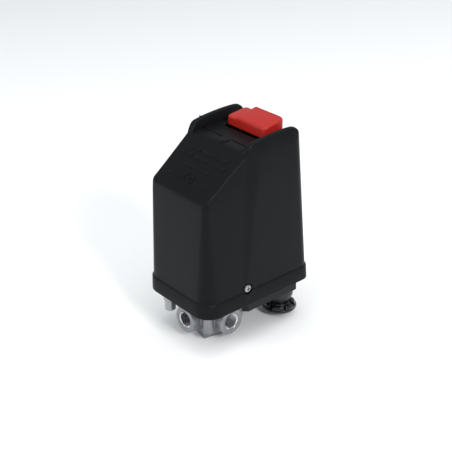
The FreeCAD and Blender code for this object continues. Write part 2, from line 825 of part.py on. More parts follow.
def make_terminals():
    """Captive screws with square clamp washers over the six terminals."""
    screws = []
    washers = []
    for x in poles():
        for side in (-1, 1):
            spot = (x, f"carrier_place + {side}*terminal_reach")
            screws.append(pan_screw(2.9, 2.2, 1.7, 3.7, (*spot, "slab_top + 0.05")))
            plate = box(
                (f"{x} - 3.3", f"{spot[1]} - 3.3", "slab_top + 2.6"),
                (f"{x} + 3.3", f"{spot[1]} + 3.3", "slab_top + 3.7"),
            )
            washers.append(cut(plate, [rod(1.75, 4, (*spot, "slab_top + 1.5"))]))
    finish(group(screws), "terminal_screws")
    finish(group(washers), "terminal_clamps")


def make_carrier():
    """Insulating carrier with a window for each contact bridge and two feet on the lever's end."""
    bar = box((-23.4, "carrier_place - 3", "slab_top + 1.3"), (23.4, "carrier_place + 3", "block_top"))
    solids = [bar]
    for side in (1, -1):
        foot_low = ("carrier_place - 3", "lever_top + 0.3")
        foot_high = ("carrier_place + 3", "slab_top + 2")
        solids.append(side_box(side, "pole_pitch/2 - 1.3", "pole_pitch/2 + 1.3", foot_low, foot_high))
    windows = []
    for x in poles():
        windows.append(box(
            (f"{x} - 4.6", "carrier_place - 4", "slab_top + 3"),
            (f"{x} + 4.6", "carrier_place + 4", "slab_top + 12"),
        ))
    finish(cut(fuse(solids), windows), "contact_carrier")
    bridges = []
    for x in poles():
        strip = box(
            (f"{x} - 4", "carrier_place - contact_reach - 2.3", "slab_top + 3.3"),
            (f"{x} + 4", "carrier_place + contact_reach + 2.3", "slab_top + 4.8"),
        )
        joined = [strip]
        for side in (1, -1):
            joined.append(rod(2, 1, (x, f"carrier_place + {side}*contact_reach", "slab_top + 2.7")))
        bridges.append(fuse(joined))
    finish(group(bridges), "contact_bridges")


def make_earth():
    """Earth terminal on the floor of the wiring space."""
    screw = pan_screw(3.4, 2.4, 1.55, 6, ("earth_x", "earth_y", "floor_top - 2.6"))
    finish(screw, "earth_screw")
    plate = box(
        ("earth_x - 4", "earth_y - 4", "floor_top + 0.4"),
        ("earth_x + 4", "earth_y + 4", "floor_top + 1.8"),
    )
    finish(cut(plate, [rod(1.65, 5, ("earth_x", "earth_y", "floor_top - 1"))]), "earth_clamp")


# ---------------------------------------------------------------- knob and trip gear

def is_knob_corner(edge):
    """Whether an edge is one of the cap's upright corners."""
    ends = [vertex.Point for vertex in edge.Vertexes]
    if len(ends) != 2 or ends[0].sub(ends[1]).cross(FreeCAD.Vector(0, 0, 1)).Length > 1e-4:
        return False
    return abs(abs(ends[0].x) - SIZES["knob_half"]) < 0.1


def make_knob():
    """Red cap, low finger step on its left third, on a black slider that reaches down to the trip lever."""
    cap = prism(
        "YZ_Plane",
        [
            ("knob_place - knob_deep/2", "knob_base"), ("knob_place + knob_deep/2", "knob_base + 1.5"),
            ("knob_place + knob_deep/2", "knob_base + 12"),
            ("knob_place - knob_deep/2 + 1.5", "knob_base + 9"),
            ("knob_place - knob_deep/2", "knob_base + 7.5"),
        ],
        0, "knob_half*2", middle=True,
    )
    step = prism(
        "YZ_Plane",
        [
            ("knob_place - knob_deep", "knob_base + 5"), ("knob_place + knob_deep", "knob_base + 9.8"),
            ("knob_place + knob_deep", "knob_base + 20"), ("knob_place - knob_deep", "knob_base + 20"),
        ],
        "-knob_half - 1", "10",
    )
    socket = box(
        ("-slider_half - 0.05", "knob_place - slider_deep/2 - 0.05", "knob_base - 1"),
        ("slider_half + 0.05", "knob_place + slider_deep/2 + 0.05", "knob_base + 5.05"),
    )
    stepped = cut(cap, [step, socket])
    finish(rounded_edges(stepped, 2.2, is_knob_corner), "knob_cap")
    column = box(
        ("-slider_half", "knob_place - slider_deep/2", "slider_foot"),
        ("slider_half", "knob_place + slider_deep/2", "knob_base + 5"),
    )
    foot = box(
        ("-slider_half", "trip_place + 17.5", "slider_foot"),
        (17.5, "knob_place - 1", "slider_foot + 4"),
    )
    nose = box(
        (12, "trip_place + 17.5", "trip_level + 2.8"),
        (17.5, "trip_place + 19.5", "slider_foot + 1"),
    )
    core = box(
        ("2 - slider_half", "knob_place - slider_deep/2 + 2", "slider_foot + 6"),
        ("slider_half - 2", "knob_place + slider_deep/2 - 2", "knob_base + 6"),
    )
    finish(cut(fuse([column, foot, nose]), [core]), "knob_slider")


def make_trip():
    """Trip lever that the knob tips, its pin, and the link that lifts the main lever."""
    beam = prism(
        "YZ_Plane",
        [
            (11, "trip_level - 2"), ("trip_place - 4", "trip_level - 3"),
            ("trip_place + 4", "trip_level - 3"), ("trip_place + 19.5", "trip_level - 1.6"),
            ("trip_place + 19.5", "trip_level + 2"), ("trip_place + 4", "trip_level + 3"),
            ("trip_place - 4", "trip_level + 3"), (11, "trip_level + 2"),
        ],
        13.5, 2.5,
    )
    hole = rod("trip_radius + pin_gap", 10, (10, "trip_place", "trip_level"), (1, 0, 0))
    finish(cut(beam, [hole]), "trip_lever")
    pin = turned(
        [
            (0, "-frame_inner - 4.5"), ("trip_radius - 0.3", "-frame_inner - 4.5"),
            ("trip_radius", "-frame_inner - 4.2"),
            ("trip_radius", "frame_inner + 2.6"), ("trip_radius + 1", "frame_inner + 2.6"),
            ("trip_radius + 1", "frame_inner + 3.6"), (0, "frame_inner + 3.6"),
        ],
        (0, "trip_place", "trip_level"), (1, 0, 0),
    )
    finish(pin, "trip_pin")
    strip = box((17, 8, 48.6), (19, 14, "trip_level + 4.7"))
    tab = box((13.2, 8, "trip_level + 2.8"), (18, 14, "trip_level + 4.7"))
    hook = box((12.8, 8, 48.6), (18, 14, 50.4))
    finish(fuse([strip, tab, hook]), "trip_link")


# ---------------------------------------------------------------- unloader valve and cable glands

def make_unloader():
    """Vent valve in front of the manifold: body, pin, compression nut and olive."""
    at = ("unloader_x", "unloader_y", 0)
    body = turned([
        ("tube_hole", 18.4), (3.3, 18.4), (3.3, 24.9), (5.2, 24.9), (5.2, 35.95), (4.9, 35.95),
        (4.9, 39.6), (3.2, 39.9), (3.2, 46), (1.65, 46), (1.65, 34), (2.6, 34), (2.6, 24),
        (1, 24), (1, 21.9), ("tube_hole", 21.9),
    ], at)
    finish(body, "unloader_body")
    pin = turned([
        (0, 25.5), (2.2, 26.5), (2.2, 30), (1.6, 30.6), (1.6, 52.3),
        (3.3, 52.3), (3.3, 53.6), (1.2, 54.6), (0, 54.6),
    ], at)
    finish(pin, "unloader_pin")
    nut = turned([
        ("tube_hole", 15.4), (3.6, 15.4), (4.4, 16.2), (4.4, 24),
        (4.1, 24.6), (3.35, 24.6), (3.35, 16.9), ("tube_hole", 16.9),
    ], at)
    finish(nut, "unloader_nut")
    olive = turned([("tube_hole", 17), (2.9, 17), (3.2, 17.5), (2.6, 18.3), ("tube_hole", 18.3)], at)
    finish(olive, "unloader_olive")


def make_gland(side, name):
    """Cable gland under the wiring well: body, nut inside, rubber seal, thrust ring and clamping nut."""
    at = (f"{side}*gland_x", "gland_y", 0)
    body = turned([
        (5.5, 16.5), ("gland_thread - 1.4", 16.5), ("gland_thread - 1.4", 10.6), ("gland_thread", 10.6),
        ("gland_thread", 17.6), (11, 17.6), (11.2, 20), (10.6, 23.4), ("gland_thread", 23.4),
        ("gland_thread", 31), (5.5, 31),
    ], at)
    finish(body, f"gland_body_{name}")
    lock_nut = ring(8.8, "gland_thread + stem_gap", 26.6, 30, at)
    finish(lock_nut, f"gland_locknut_{name}")
    seal = turned([("gland_bore", 10.3), (5.2, 10.3), (6.05, 11.2), (6.05, 16.4), ("gland_bore", 16.4)], at)
    finish(seal, f"gland_seal_{name}")
    thrust = ring(5.9, 4.9, 8.45, 10.2, at)
    finish(thrust, f"gland_ring_{name}")
    disc = turned([
        (4.9, 5), ("gland_disc - 1", 5), ("gland_disc", 6), ("gland_disc", 7.6), ("gland_disc - 0.8", 8.4),
        (8.6, 8.8), (8.8, 11), (10.3, 17.2), ("gland_thread + stem_gap", 17.2),
        ("gland_thread + stem_gap", 10.4), (6.6, 8.35), (4.9, 8.35),
    ], at)
    notches = []
    count = 12
    for k in range(count):
        angle = math.radians(360 * k / count)
        x = f"{side}*gland_x + (gland_disc + 1.1)*{math.cos(angle):.5f}"
        y = f"gland_y + (gland_disc + 1.1)*{math.sin(angle):.5f}"
        notches.append(rod(2, 6, (x, y, 4)))
    finish(cut(disc, notches), f"gland_nut_{name}")


make_manifold()
make_diaphragm()
make_manifold_screws()
make_base()
make_cover()
make_cover_screws()
make_frame()
make_frame_screws()
make_piston()
make_lever()
make_lever_pin()
make_spring_seats()
make_springs()
make_adjusters()
make_contact_block()
make_block_screws()
make_fixed_contacts()
make_terminals()
make_carrier()
make_earth()
make_knob()
make_trip()
make_unloader()
for gland_side, gland_name in ((1, "right"), (-1, "left")):
    make_gland(gland_side, gland_name)

doc.recompute()
for item in doc.Objects:
    if "Invalid" in item.State or "Error" in item.State:
        raise RuntimeError(f"{item.Name} {item.Label} failed: {item.State}")
for item in finished:
    if item.Shape.isNull() or not item.Shape.isValid() or not item.Shape.Solids:
        raise RuntimeError(f"{item.Label} has no valid shape")

os.makedirs("parts", exist_ok=True)
for item in finished:
    item.Shape.exportStep(f"parts/{item.Label}.step")
    span = item.Shape.BoundBox
    print(f"{item.Label:28s} solids {len(item.Shape.Solids)}  volume {item.Shape.Volume:10.1f}  "
          f"x {span.XMin:7.2f} {span.XMax:7.2f}  y {span.YMin:7.2f} {span.YMax:7.2f}  "
          f"z {span.ZMin:7.2f} {span.ZMax:7.2f}")
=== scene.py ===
import bpy
import bmesh
import json
import math
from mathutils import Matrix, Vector


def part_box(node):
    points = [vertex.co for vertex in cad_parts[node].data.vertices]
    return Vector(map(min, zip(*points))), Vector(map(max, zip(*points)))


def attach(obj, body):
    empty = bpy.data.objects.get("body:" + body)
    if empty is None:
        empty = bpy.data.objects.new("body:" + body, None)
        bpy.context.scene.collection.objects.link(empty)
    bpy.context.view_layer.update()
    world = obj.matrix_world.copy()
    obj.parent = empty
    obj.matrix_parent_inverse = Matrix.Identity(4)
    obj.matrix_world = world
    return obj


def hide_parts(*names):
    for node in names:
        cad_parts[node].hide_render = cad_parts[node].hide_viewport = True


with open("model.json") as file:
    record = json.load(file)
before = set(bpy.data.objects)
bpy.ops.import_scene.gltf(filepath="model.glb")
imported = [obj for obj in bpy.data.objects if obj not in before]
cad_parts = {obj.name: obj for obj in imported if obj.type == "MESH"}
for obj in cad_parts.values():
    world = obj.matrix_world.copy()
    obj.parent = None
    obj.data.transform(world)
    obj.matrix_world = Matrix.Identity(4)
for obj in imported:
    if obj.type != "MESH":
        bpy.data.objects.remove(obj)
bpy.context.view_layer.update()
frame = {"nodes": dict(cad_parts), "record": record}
MM = 0.001


# ------------------------------------------------------------------ camera, floor and light
# A long lens looks down on the front right corner of the switch, which stands on a white table.
# The table lights the walls from below, so the upright faces come out paler than the top.

AIM = Vector((0, 0.01664, 0.08659))
AZIMUTH = math.radians(49.24)
ELEVATION = math.radians(27.66)
DISTANCE = 0.79393

backwards = Vector((
    math.sin(AZIMUTH) * math.cos(ELEVATION),
    -math.cos(AZIMUTH) * math.cos(ELEVATION),
    math.sin(ELEVATION),
))
camera_data = bpy.data.cameras.new("camera")
camera_data.lens = 81.26
camera_data.sensor_width = 36
camera_data.clip_start = 0.01
camera = bpy.data.objects.new("camera", camera_data)
camera.location = AIM + backwards * DISTANCE
camera.rotation_euler = backwards.to_track_quat("Z", "Y").to_euler()
bpy.context.scene.collection.objects.link(camera)
bpy.context.scene.camera = camera


def linear(colour):
    """A six-digit sRGB colour as linear red, green, blue and alpha."""
    channels = [int(colour[k:k + 2], 16) / 255 for k in (0, 2, 4)]
    return [c / 12.92 if c <= 0.04045 else ((c + 0.055) / 1.055) ** 2.4 for c in channels] + [1.0]


def add_node(material, kind, settings=None, links=None):
    """One shader node with its settings, and what feeds each of its inputs."""
    added = material.node_tree.nodes.new(kind)
    for name, value in (settings or {}).items():
        if isinstance(name, int) or name in added.inputs:
            added.inputs[name].default_value = value
        else:
            setattr(added, name, value)
    for name, source in (links or {}).items():
        material.node_tree.links.new(source, added.inputs[name])
    return added


def new_material(name, **surface):
    """A material with its principled shader, which the section's own nodes then feed."""
    material = bpy.data.materials.new(name)
    material.use_nodes = True
    shader = material.node_tree.nodes["Principled BSDF"]
    for socket, value in surface.items():
        shader.inputs[socket.replace("_", " ")].default_value = value
    return material, shader


def nothing_selected():
    if bpy.context.object and bpy.context.object.mode != "OBJECT":
        bpy.ops.object.mode_set(mode="OBJECT")
    bpy.ops.object.select_all(action="DESELECT")


nothing_selected()
bpy.ops.mesh.primitive_grid_add(x_subdivisions=8, y_subdivisions=8, size=12, location=(0, 0, 0))
floor = bpy.context.object
floor.name = "floor"
paper, paper_shader = new_material("white_paper", Base_Color=linear("f4f4f3"), Roughness=0.85)
fibres = add_node(paper, "ShaderNodeTexNoise", {"Scale": 3.0, "Detail": 2.0})
warm = add_node(paper, "ShaderNodeMixRGB", {"Color1": linear("f6f6f5"), "Color2": linear("f2f2f2")},
                {"Fac": fibres.outputs["Fac"]})
paper.node_tree.links.new(warm.outputs["Color"], paper_shader.inputs["Base Color"])
floor.data.materials.append(paper)

world = bpy.data.worlds.new("studio")
world.use_nodes = True
world.node_tree.nodes["Background"].inputs["Color"].default_value = (0.9, 0.95, 1.0, 1)
world.node_tree.nodes["Background"].inputs["Strength"].default_value = 0.56
bpy.context.scene.world = world
bpy.context.scene.view_settings.view_transform = "Standard"

LIGHTS = [
    # name, place, size, power
    ("overhead_softbox", (0.1, -0.1, 1.5), 1.3, 10.5),
    ("right_softbox", (1.3, -0.2, 0.95), 0.4, 13),
    ("front_softbox", (-0.5, -1.3, 0.8), 0.8, 7),
    ("rear_softbox", (0.2, 1.4, 0.9), 0.8, 4),
]
for name, place, size, power in LIGHTS:
    light_data = bpy.data.lights.new(name, "AREA")
    light_data.shape = "SQUARE"
    light_data.size = size
    light_data.energy = power
    light = bpy.data.objects.new(name, light_data)
    light.location = place
    light.rotation_euler = (Vector(place) - AIM).to_track_quat("Z", "Y").to_euler()
    bpy.context.scene.collection.objects.link(light)


# ------------------------------------------------------------------ cover
# One injection-moulded shell of black ABS, finely spark-textured, that hangs over the whole mechanism.
# It tapers upwards for draft, steps out behind the front third, and has a plain rim round its foot.

abs_black, abs_shader = new_material(
    "spark_textured_black_abs", Base_Color=linear("0e0f11"), Roughness=0.42, IOR=1.53,
    Specular_IOR_Level=0.1)
# Spark texture has grains of about 0.2 mm, drawn at 0.5 mm so that it shows, and it scatters most of the
# gloss; long flow marks vary the colour.
place_abs = add_node(abs_black, "ShaderNodeTexCoord")
grain = add_node(abs_black, "ShaderNodeTexNoise",
                 {"Scale": 1 / (0.5 * MM), "Detail": 3.0, "Roughness": 0.6},
                 {"Vector": place_abs.outputs["Object"]})
flow = add_node(abs_black, "ShaderNodeTexNoise", {"Scale": 1 / (45 * MM), "Detail": 2.0},
                {"Vector": place_abs.outputs["Object"]})
shade = add_node(abs_black, "ShaderNodeMixRGB", {"Color1": linear("090a0c"), "Color2": linear("0f1012")},
                 {"Fac": flow.outputs["Fac"]})
gloss = add_node(abs_black, "ShaderNodeMapRange", {"To Min": 0.36, "To Max": 0.50},
                 {"Value": grain.outputs["Fac"]})
relief = add_node(abs_black, "ShaderNodeBump", {"Strength": 0.16, "Distance": 0.05 * MM},
                  {"Height": grain.outputs["Fac"]})
abs_black.node_tree.links.new(shade.outputs["Color"], abs_shader.inputs["Base Color"])
abs_black.node_tree.links.new(gloss.outputs["Result"], abs_shader.inputs["Roughness"])
abs_black.node_tree.links.new(relief.outputs["Normal"], abs_shader.inputs["Normal"])

cover_low, cover_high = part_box("cover")
COVER_HALF = 38.0 * MM
COVER_FRONT = cover_low.y
COVER_REAR = cover_high.y
COVER_BASE = cover_low.z
RIM_STEP = 0.8 * MM
LOFT_TOP = 172 * MM
WALL = 2.4 * MM
FRONT_LEAN = 5.4 * MM
REAR_LEAN = 12.2 * MM
FRONT_CORNER = 14 * MM
FRONT_CORNER_LOSS = 15.2 * MM
FRONT_CORNER_LEAST = 3.5 * MM
REAR_CORNER = 9 * MM
FRONT_TOP_HALF = 29.5 * MM
STEP_TOP_HALF = 32.5 * MM
REAR_TOP_HALF = 35.8 * MM
STEP_FRONT = 1 * MM
STEP_FRONT_DRIFT = 4 * MM
STEP_REAR = 5 * MM
STEP_REAR_DRIFT = 17 * MM


def ease(share):
    """Smooth rise from 0 to 1."""
    return share * share * (3 - 2 * share)


def between(first, last, share):
    """A value part of the way from one to another."""
    return first + (last - first) * share


def corner_arc(centre_x, centre_y, radius, start, steps):
    """Points round a quarter circle, starting at an angle in degrees."""
    points = []
    for k in range(steps + 1):
        angle = math.radians(start + 90 * k / steps)
        points.append((centre_x + radius * math.cos(angle), centre_y + radius * math.sin(angle)))
    return points


def cover_plan(rise, proud, inset):
    """Outline of the cover at a share of its height, anticlockwise from the middle of the front."""
    half = COVER_HALF - RIM_STEP + proud - inset
    front = COVER_FRONT + RIM_STEP - proud + inset + FRONT_LEAN * rise
    rear = COVER_REAR - RIM_STEP + proud - inset - REAR_LEAN * rise
    front_half = half + (FRONT_TOP_HALF - COVER_HALF + RIM_STEP) * rise
    step_half = half + (STEP_TOP_HALF - COVER_HALF + RIM_STEP) * rise
    rear_half = half + (REAR_TOP_HALF - COVER_HALF + RIM_STEP) * rise
    front_radius = max(FRONT_CORNER - FRONT_CORNER_LOSS * rise, FRONT_CORNER_LEAST) - inset
    rear_radius = REAR_CORNER - inset
    step_front = STEP_FRONT + STEP_FRONT_DRIFT * rise
    step_rear = STEP_REAR + STEP_REAR_DRIFT * rise
    side = [(front_half * share, front) for share in (0.25, 0.5)]
    side += corner_arc(front_half - front_radius, front + front_radius, front_radius, -90, 10)
    corner_end = front + front_radius
    for k in range(1, 5):
        share = k / 5
        side.append((between(front_half, step_half, share), between(corner_end, step_front, share)))
    for k in range(13):
        share = k / 12
        side.append((between(step_half, rear_half, ease(share)), between(step_front, step_rear, share)))
    for k in range(1, 6):
        share = k / 6
        side.append((rear_half, between(step_rear, rear - rear_radius, share)))
    side += corner_arc(rear_half - rear_radius, rear - rear_radius, rear_radius, 0, 8)
    side += [(rear_half * share, rear) for share in (0.6, 0.3)]
    left = [(-x, y) for x, y in side[::-1]]
    return [(0.0, front)] + side + [(0.0, rear)] + left


def stacked(name, levels):
    """A closed form from outlines stacked upwards: a circle laid on the first and extruded to each next."""
    nothing_selected()
    count = len(levels[0][1])
    bpy.ops.mesh.primitive_circle_add(
        vertices=count, radius=0.05, fill_type="NGON", location=(0, 0, 0))
    piece = bpy.context.object
    piece.name = name
    bpy.ops.object.mode_set(mode="EDIT")
    bpy.ops.mesh.select_mode(type="VERT")
    for k, (height, outline) in enumerate(levels):
        if k:
            bpy.ops.mesh.extrude_region_move(TRANSFORM_OT_translate={"value": (0, 0, 0.01)})
        shape = bmesh.from_edit_mesh(piece.data)
        shape.verts.ensure_lookup_table()
        for vertex, (x, y) in zip(shape.verts[-count:], outline):
            vertex.co = (x, y, height)
        bmesh.update_edit_mesh(piece.data)
    bpy.ops.mesh.select_all(action="SELECT")
    bpy.ops.mesh.normals_make_consistent(inside=False)
    bpy.ops.object.mode_set(mode="OBJECT")
    return piece


def edited(piece, *steps):
    """Run edit-mode operators, each with its settings, on the whole of one piece."""
    nothing_selected()
    bpy.context.view_layer.objects.active = piece
    bpy.ops.object.mode_set(mode="EDIT")
    bpy.ops.mesh.select_mode(type="VERT")
    for operator, settings in steps:
        bpy.ops.mesh.select_all(action="SELECT")
        operator(**settings)
    bpy.ops.object.mode_set(mode="OBJECT")
    return piece


def rectangle(left, front, right, rear):
    """The outline of a rectangle, anticlockwise from its left front corner."""
    return [(left, front), (right, front), (right, rear), (left, rear)]


def extruded(name, outline, low, high, axis):
    """A bar of one outline along an axis: the outline's two numbers are the other two axes in order."""
    placed = {
        "X": lambda u, v, w: (w, u, v),
        "Y": lambda u, v, w: (u, w, v),
        "Z": lambda u, v, w: (u, v, w),
    }[axis]
    piece = stacked(name, [(low, outline), (high, outline)])
    for vertex in piece.data.vertices:
        vertex.co = placed(*vertex.co)
    return edited(piece, (bpy.ops.mesh.normals_make_consistent, {"inside": False}))


def carved(piece, tool, operation="DIFFERENCE"):
    """Cut one form out of another, or join them, and throw the tool away."""
    nothing_selected()
    bpy.context.view_layer.objects.active = piece
    modifier = piece.modifiers.new("carve", "BOOLEAN")
    modifier.operation = operation
    modifier.solver = "EXACT"
    modifier.object = tool
    bpy.ops.object.modifier_apply(modifier="carve")
    bpy.data.objects.remove(tool, do_unlink=True)
    return piece


def bevelled(piece, width, segments, chosen):
    """Round the edges whose middle point and angle pass a test."""
    nothing_selected()
    bpy.context.view_layer.objects.active = piece
    bpy.ops.object.mode_set(mode="EDIT")
    bpy.ops.mesh.select_mode(type="EDGE")
    bpy.ops.mesh.select_all(action="DESELECT")
    shape = bmesh.from_edit_mesh(piece.data)
    for edge in shape.edges:
        if len(edge.link_faces) == 2:
            middle = (edge.verts[0].co + edge.verts[1].co) / 2
            edge.select = bool(chosen(middle, math.degrees(edge.calc_face_angle_signed(0.0))))
    bmesh.update_edit_mesh(piece.data)
    bpy.ops.mesh.bevel(offset=width, segments=segments, profile=0.5, affect="EDGES", clamp_overlap=False)
    bpy.ops.object.mode_set(mode="OBJECT")
    return edited(piece, (bpy.ops.mesh.remove_doubles, {"threshold": 0.01 * MM}))


def smooth_line(points, steps):
    """A rounded line through a few points (Catmull-Rom), with a number of steps between each two."""
    line = []
    ends = [points[0]] + list(points) + [points[-1]]
    for k in range(1, len(ends) - 2):
        a, b, c, d = (Vector(p) for p in ends[k - 1:k + 3])
        for step in range(steps):
            t = step / steps
            line.append(tuple(0.5 * (2 * b + (c - a) * t + (2 * a - 5 * b + 4 * c - d) * t * t
                                     + (3 * b - a - 3 * c + d) * t ** 3)))
    line.append(tuple(points[-1]))
    return line


def cover_levels(inset):
    """The cover's outlines from the foot to above its top: first the rim, then the wall."""
    rim = [
        # height above the foot, how proud the rim stands, in mm
        (0.0, 0.5), (0.4, 0.8), (11.5, 0.8), (12.1, 0.55), (12.6, 0.0),
    ]
    levels = []
    for height, proud in rim:
        level = COVER_BASE + height * MM
        rise = (level - COVER_BASE) / (LOFT_TOP - COVER_BASE)
        levels.append((level, cover_plan(rise, proud * MM, inset)))
    for level in (62 * MM, 84 * MM, 106 * MM, 124 * MM, LOFT_TOP):
        rise = (level - COVER_BASE) / (LOFT_TOP - COVER_BASE)
        levels.append((level, cover_plan(rise, 0.0, inset)))
    return levels


cover = stacked("moulded_cover", cover_levels(0.0))

SLOPE_FOOT = Vector((-31.5 * MM, 129.6 * MM))
SLOPE_HEAD = Vector((6.2 * MM, 158 * MM))
slope_along = (SLOPE_HEAD - SLOPE_FOOT).normalized()
slope_start = SLOPE_FOOT - slope_along * 12 * MM
crest = smooth_line([
    (SLOPE_HEAD.x - 0.5 * MM, SLOPE_HEAD.y - 0.4 * MM), (7.4 * MM, 162.0 * MM), (10.4 * MM, 165.6 * MM),
    (16 * MM, 167.4 * MM), (26 * MM, 168.8 * MM), (40 * MM, 169.7 * MM), (52 * MM, 169.6 * MM),
    (57.5 * MM, 167.8 * MM), (60.8 * MM, 163 * MM), (62.4 * MM, 156 * MM),
], 4)
BEHIND = 90 * MM
OVERHEAD = 190 * MM
above = [tuple(slope_start)] + crest + [
    (80 * MM, 156 * MM), (80 * MM, OVERHEAD), (slope_start.x, OVERHEAD),
]
carved(cover, extruded("above", above, -60 * MM, 60 * MM, "X"))

# Behind the step the shoulders' outer faces lean inwards, above a line that dips in the middle.
LEAN_LOW = 150
LEAN_HIGH = 173
LEAN_OUTSIDE = 43
LEAN = [
    # place from front to rear, half width at LEAN_LOW and at LEAN_HIGH, in mm
    (2, 33.5, 33.05), (12, 36.0, 32.6), (21, 37.25, 32.1),
    (40, 37.25, 32.3), (52, 38.2, 32.2), (66, 40.0, 31.8),
]
for side in (1, -1):
    stations = []
    for back, wide, narrow in LEAN:
        face = [(wide, LEAN_LOW), (narrow, LEAN_HIGH), (LEAN_OUTSIDE, LEAN_HIGH), (LEAN_OUTSIDE, LEAN_LOW)]
        stations.append((back * MM, [(side * x * MM, z * MM) for x, z in face]))
    leaning = stacked("leaning", stations)
    for vertex in leaning.data.vertices:
        vertex.co = (vertex.co.x, vertex.co.z, vertex.co.y)
    carved(cover, edited(leaning, (bpy.ops.mesh.normals_make_consistent, {"inside": False})))

# Between them the slope bends over into a level shelf; the shoulders' inner faces flare a little.
SHELF_TOP = 160.4 * MM
SHELF_HALF = 27.5 * MM
SHELF_FLARE = 0.2
SHELF_BEND = 3
SHELF_STEPS = 6
SHELF_CLEAR = 175 * MM
rise_per_run = slope_along.y / slope_along.x
shelf_front = SLOPE_HEAD.x + (SHELF_TOP - SLOPE_HEAD.y) / rise_per_run
shelf_corner = Vector((shelf_front, SHELF_TOP))
shelf_shape = [(0, SLOPE_HEAD.y - SLOPE_HEAD.x * rise_per_run + 0.02 * MM)]
for k in range(SHELF_STEPS + 1):
    share = k / SHELF_STEPS
    shelf_shape.append(tuple(
        shelf_corner - slope_along * SHELF_BEND * MM * (1 - share) ** 2
        + Vector((SHELF_BEND * MM, 0)) * share ** 2))
shelf_shape += [(BEHIND, SHELF_TOP), (BEHIND, SHELF_CLEAR), (0, SHELF_CLEAR)]
shelf = extruded("shelf", shelf_shape, -SHELF_HALF, SHELF_HALF, "X")
for vertex in shelf.data.vertices:
    vertex.co.x *= 1 + SHELF_FLARE * (vertex.co.z - SHELF_TOP) / SHELF_HALF
carved(cover, shelf)

# The knob moves in a pocket that is open to the rear, above a low sill.
POCKET_FRONT = 33.5 * MM
POCKET_FLOOR = 152 * MM
POCKET_HALF = 23 * MM
POCKET_CORNER = 2.5 * MM
pocket_right = corner_arc(
    POCKET_HALF - POCKET_CORNER, POCKET_FRONT + POCKET_CORNER, POCKET_CORNER, -90, 4)
pocket_plan = pocket_right + [(POCKET_HALF, BEHIND), (-POCKET_HALF, BEHIND)]
pocket_plan += [(-x, y) for x, y in pocket_right[::-1]]
carved(cover, extruded("pocket", pocket_plan, POCKET_FLOOR, OVERHEAD, "Z"))

SILL_BACK = 60 * MM
SILL_HALF = 24 * MM
SILL_TOP = 157 * MM
sill_plan = rectangle(-SILL_HALF, SILL_BACK, SILL_HALF, SILL_BACK + WALL)
carved(cover, extruded("sill", sill_plan, POCKET_FLOOR - 1 * MM, SILL_TOP, "Z"), "UNION")

# The slider comes up through a well in the pocket's floor.
WELL_HALF = 9.4 * MM
WELL_FRONT = 39.4 * MM
WELL_REAR = 52.2 * MM
well_plan = rectangle(-WELL_HALF, WELL_FRONT, WELL_HALF, WELL_REAR)
carved(cover, extruded("slider_well", well_plan, POCKET_FLOOR - WALL - 0.1 * MM, 158 * MM, "Z"))

# A round recess in each side takes the head of a cover screw.
RECESS_RADIUS = 4.6 * MM
RECESS_MIDDLE = 39.2 * MM
screw_low, screw_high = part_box("cover_screws")
SCREW_Y = (screw_low.y + screw_high.y) / 2
SCREW_Z = (screw_low.z + screw_high.z) / 2
for side in (1, -1):
    nothing_selected()
    bpy.ops.mesh.primitive_cylinder_add(
        vertices=40, radius=RECESS_RADIUS, depth=6 * MM,
        location=(side * RECESS_MIDDLE, SCREW_Y, SCREW_Z), rotation=(0, math.pi / 2, 0))
    carved(cover, bpy.context.object)


SHARP_EDGE = 24  # degrees between two faces, past which an edge is rounded
TOP_EDGES = 120 * MM
EDGE_ROUND = 1.3 * MM
TOP_CORNERS = 126 * MM
CORNER_MERGE = 0.45 * MM


def soft_edge(middle, angle):
    """Edges of the top that the mould rounds, but not the line where the shelf meets the slope."""
    on_shelf_line = abs(middle.x) < 26 * MM and 155 * MM < middle.z and middle.y < 14 * MM
    return middle.z > TOP_EDGES and angle > SHARP_EDGE and not on_shelf_line


# The cuts leave corners close beside each other, which are merged before the edges are rounded.
nothing_selected()
bpy.context.view_layer.objects.active = cover
bpy.ops.object.mode_set(mode="EDIT")
bpy.ops.mesh.select_mode(type="VERT")
bpy.ops.mesh.select_all(action="DESELECT")
skin = bmesh.from_edit_mesh(cover.data)
for vertex in skin.verts:
    vertex.select = vertex.co.z > TOP_CORNERS
bmesh.update_edit_mesh(cover.data)
bpy.ops.mesh.remove_doubles(threshold=CORNER_MERGE)
bpy.ops.object.mode_set(mode="OBJECT")
bevelled(cover, EDGE_ROUND, 4, soft_edge)

# Inside, the walls follow the outside, and the roof is flat under the knob's pocket.
cavity = stacked("cavity", cover_levels(WALL))
roof = POCKET_FLOOR - WALL
edited(
    cavity,
    (bpy.ops.mesh.bisect, {
        "plane_co": (0, SLOPE_FOOT.x + 2 * MM, SLOPE_FOOT.y - 1.5 * MM),
        "plane_no": (0, -slope_along.y, slope_along.x),
        "use_fill": True, "clear_outer": True,
    }),
    (bpy.ops.mesh.bisect, {
        "plane_co": (0, 0, roof), "plane_no": (0, 0, 1), "use_fill": True, "clear_outer": True,
    }),
    (bpy.ops.mesh.flip_normals, {}),
)
nothing_selected()
cavity.select_set(True)
cover.select_set(True)
bpy.context.view_layer.objects.active = cover
bpy.ops.object.join()
bpy.ops.object.mode_set(mode="EDIT")
bpy.ops.mesh.select_mode(type="FACE")
bpy.ops.mesh.select_all(action="DESELECT")
skin = bmesh.from_edit_mesh(cover.data)
for face in skin.faces:
    face.select = all(abs(vertex.co.z - COVER_BASE) < 0.01 * MM for vertex in face.verts)
bmesh.update_edit_mesh(cover.data)
bpy.ops.mesh.delete(type="ONLY_FACE")
bpy.ops.mesh.select_mode(type="EDGE")
skin = bmesh.from_edit_mesh(cover.data)
for edge in skin.edges:
    edge.select = all(abs(vertex.co.z - COVER_BASE) < 0.01 * MM for vertex in edge.verts)
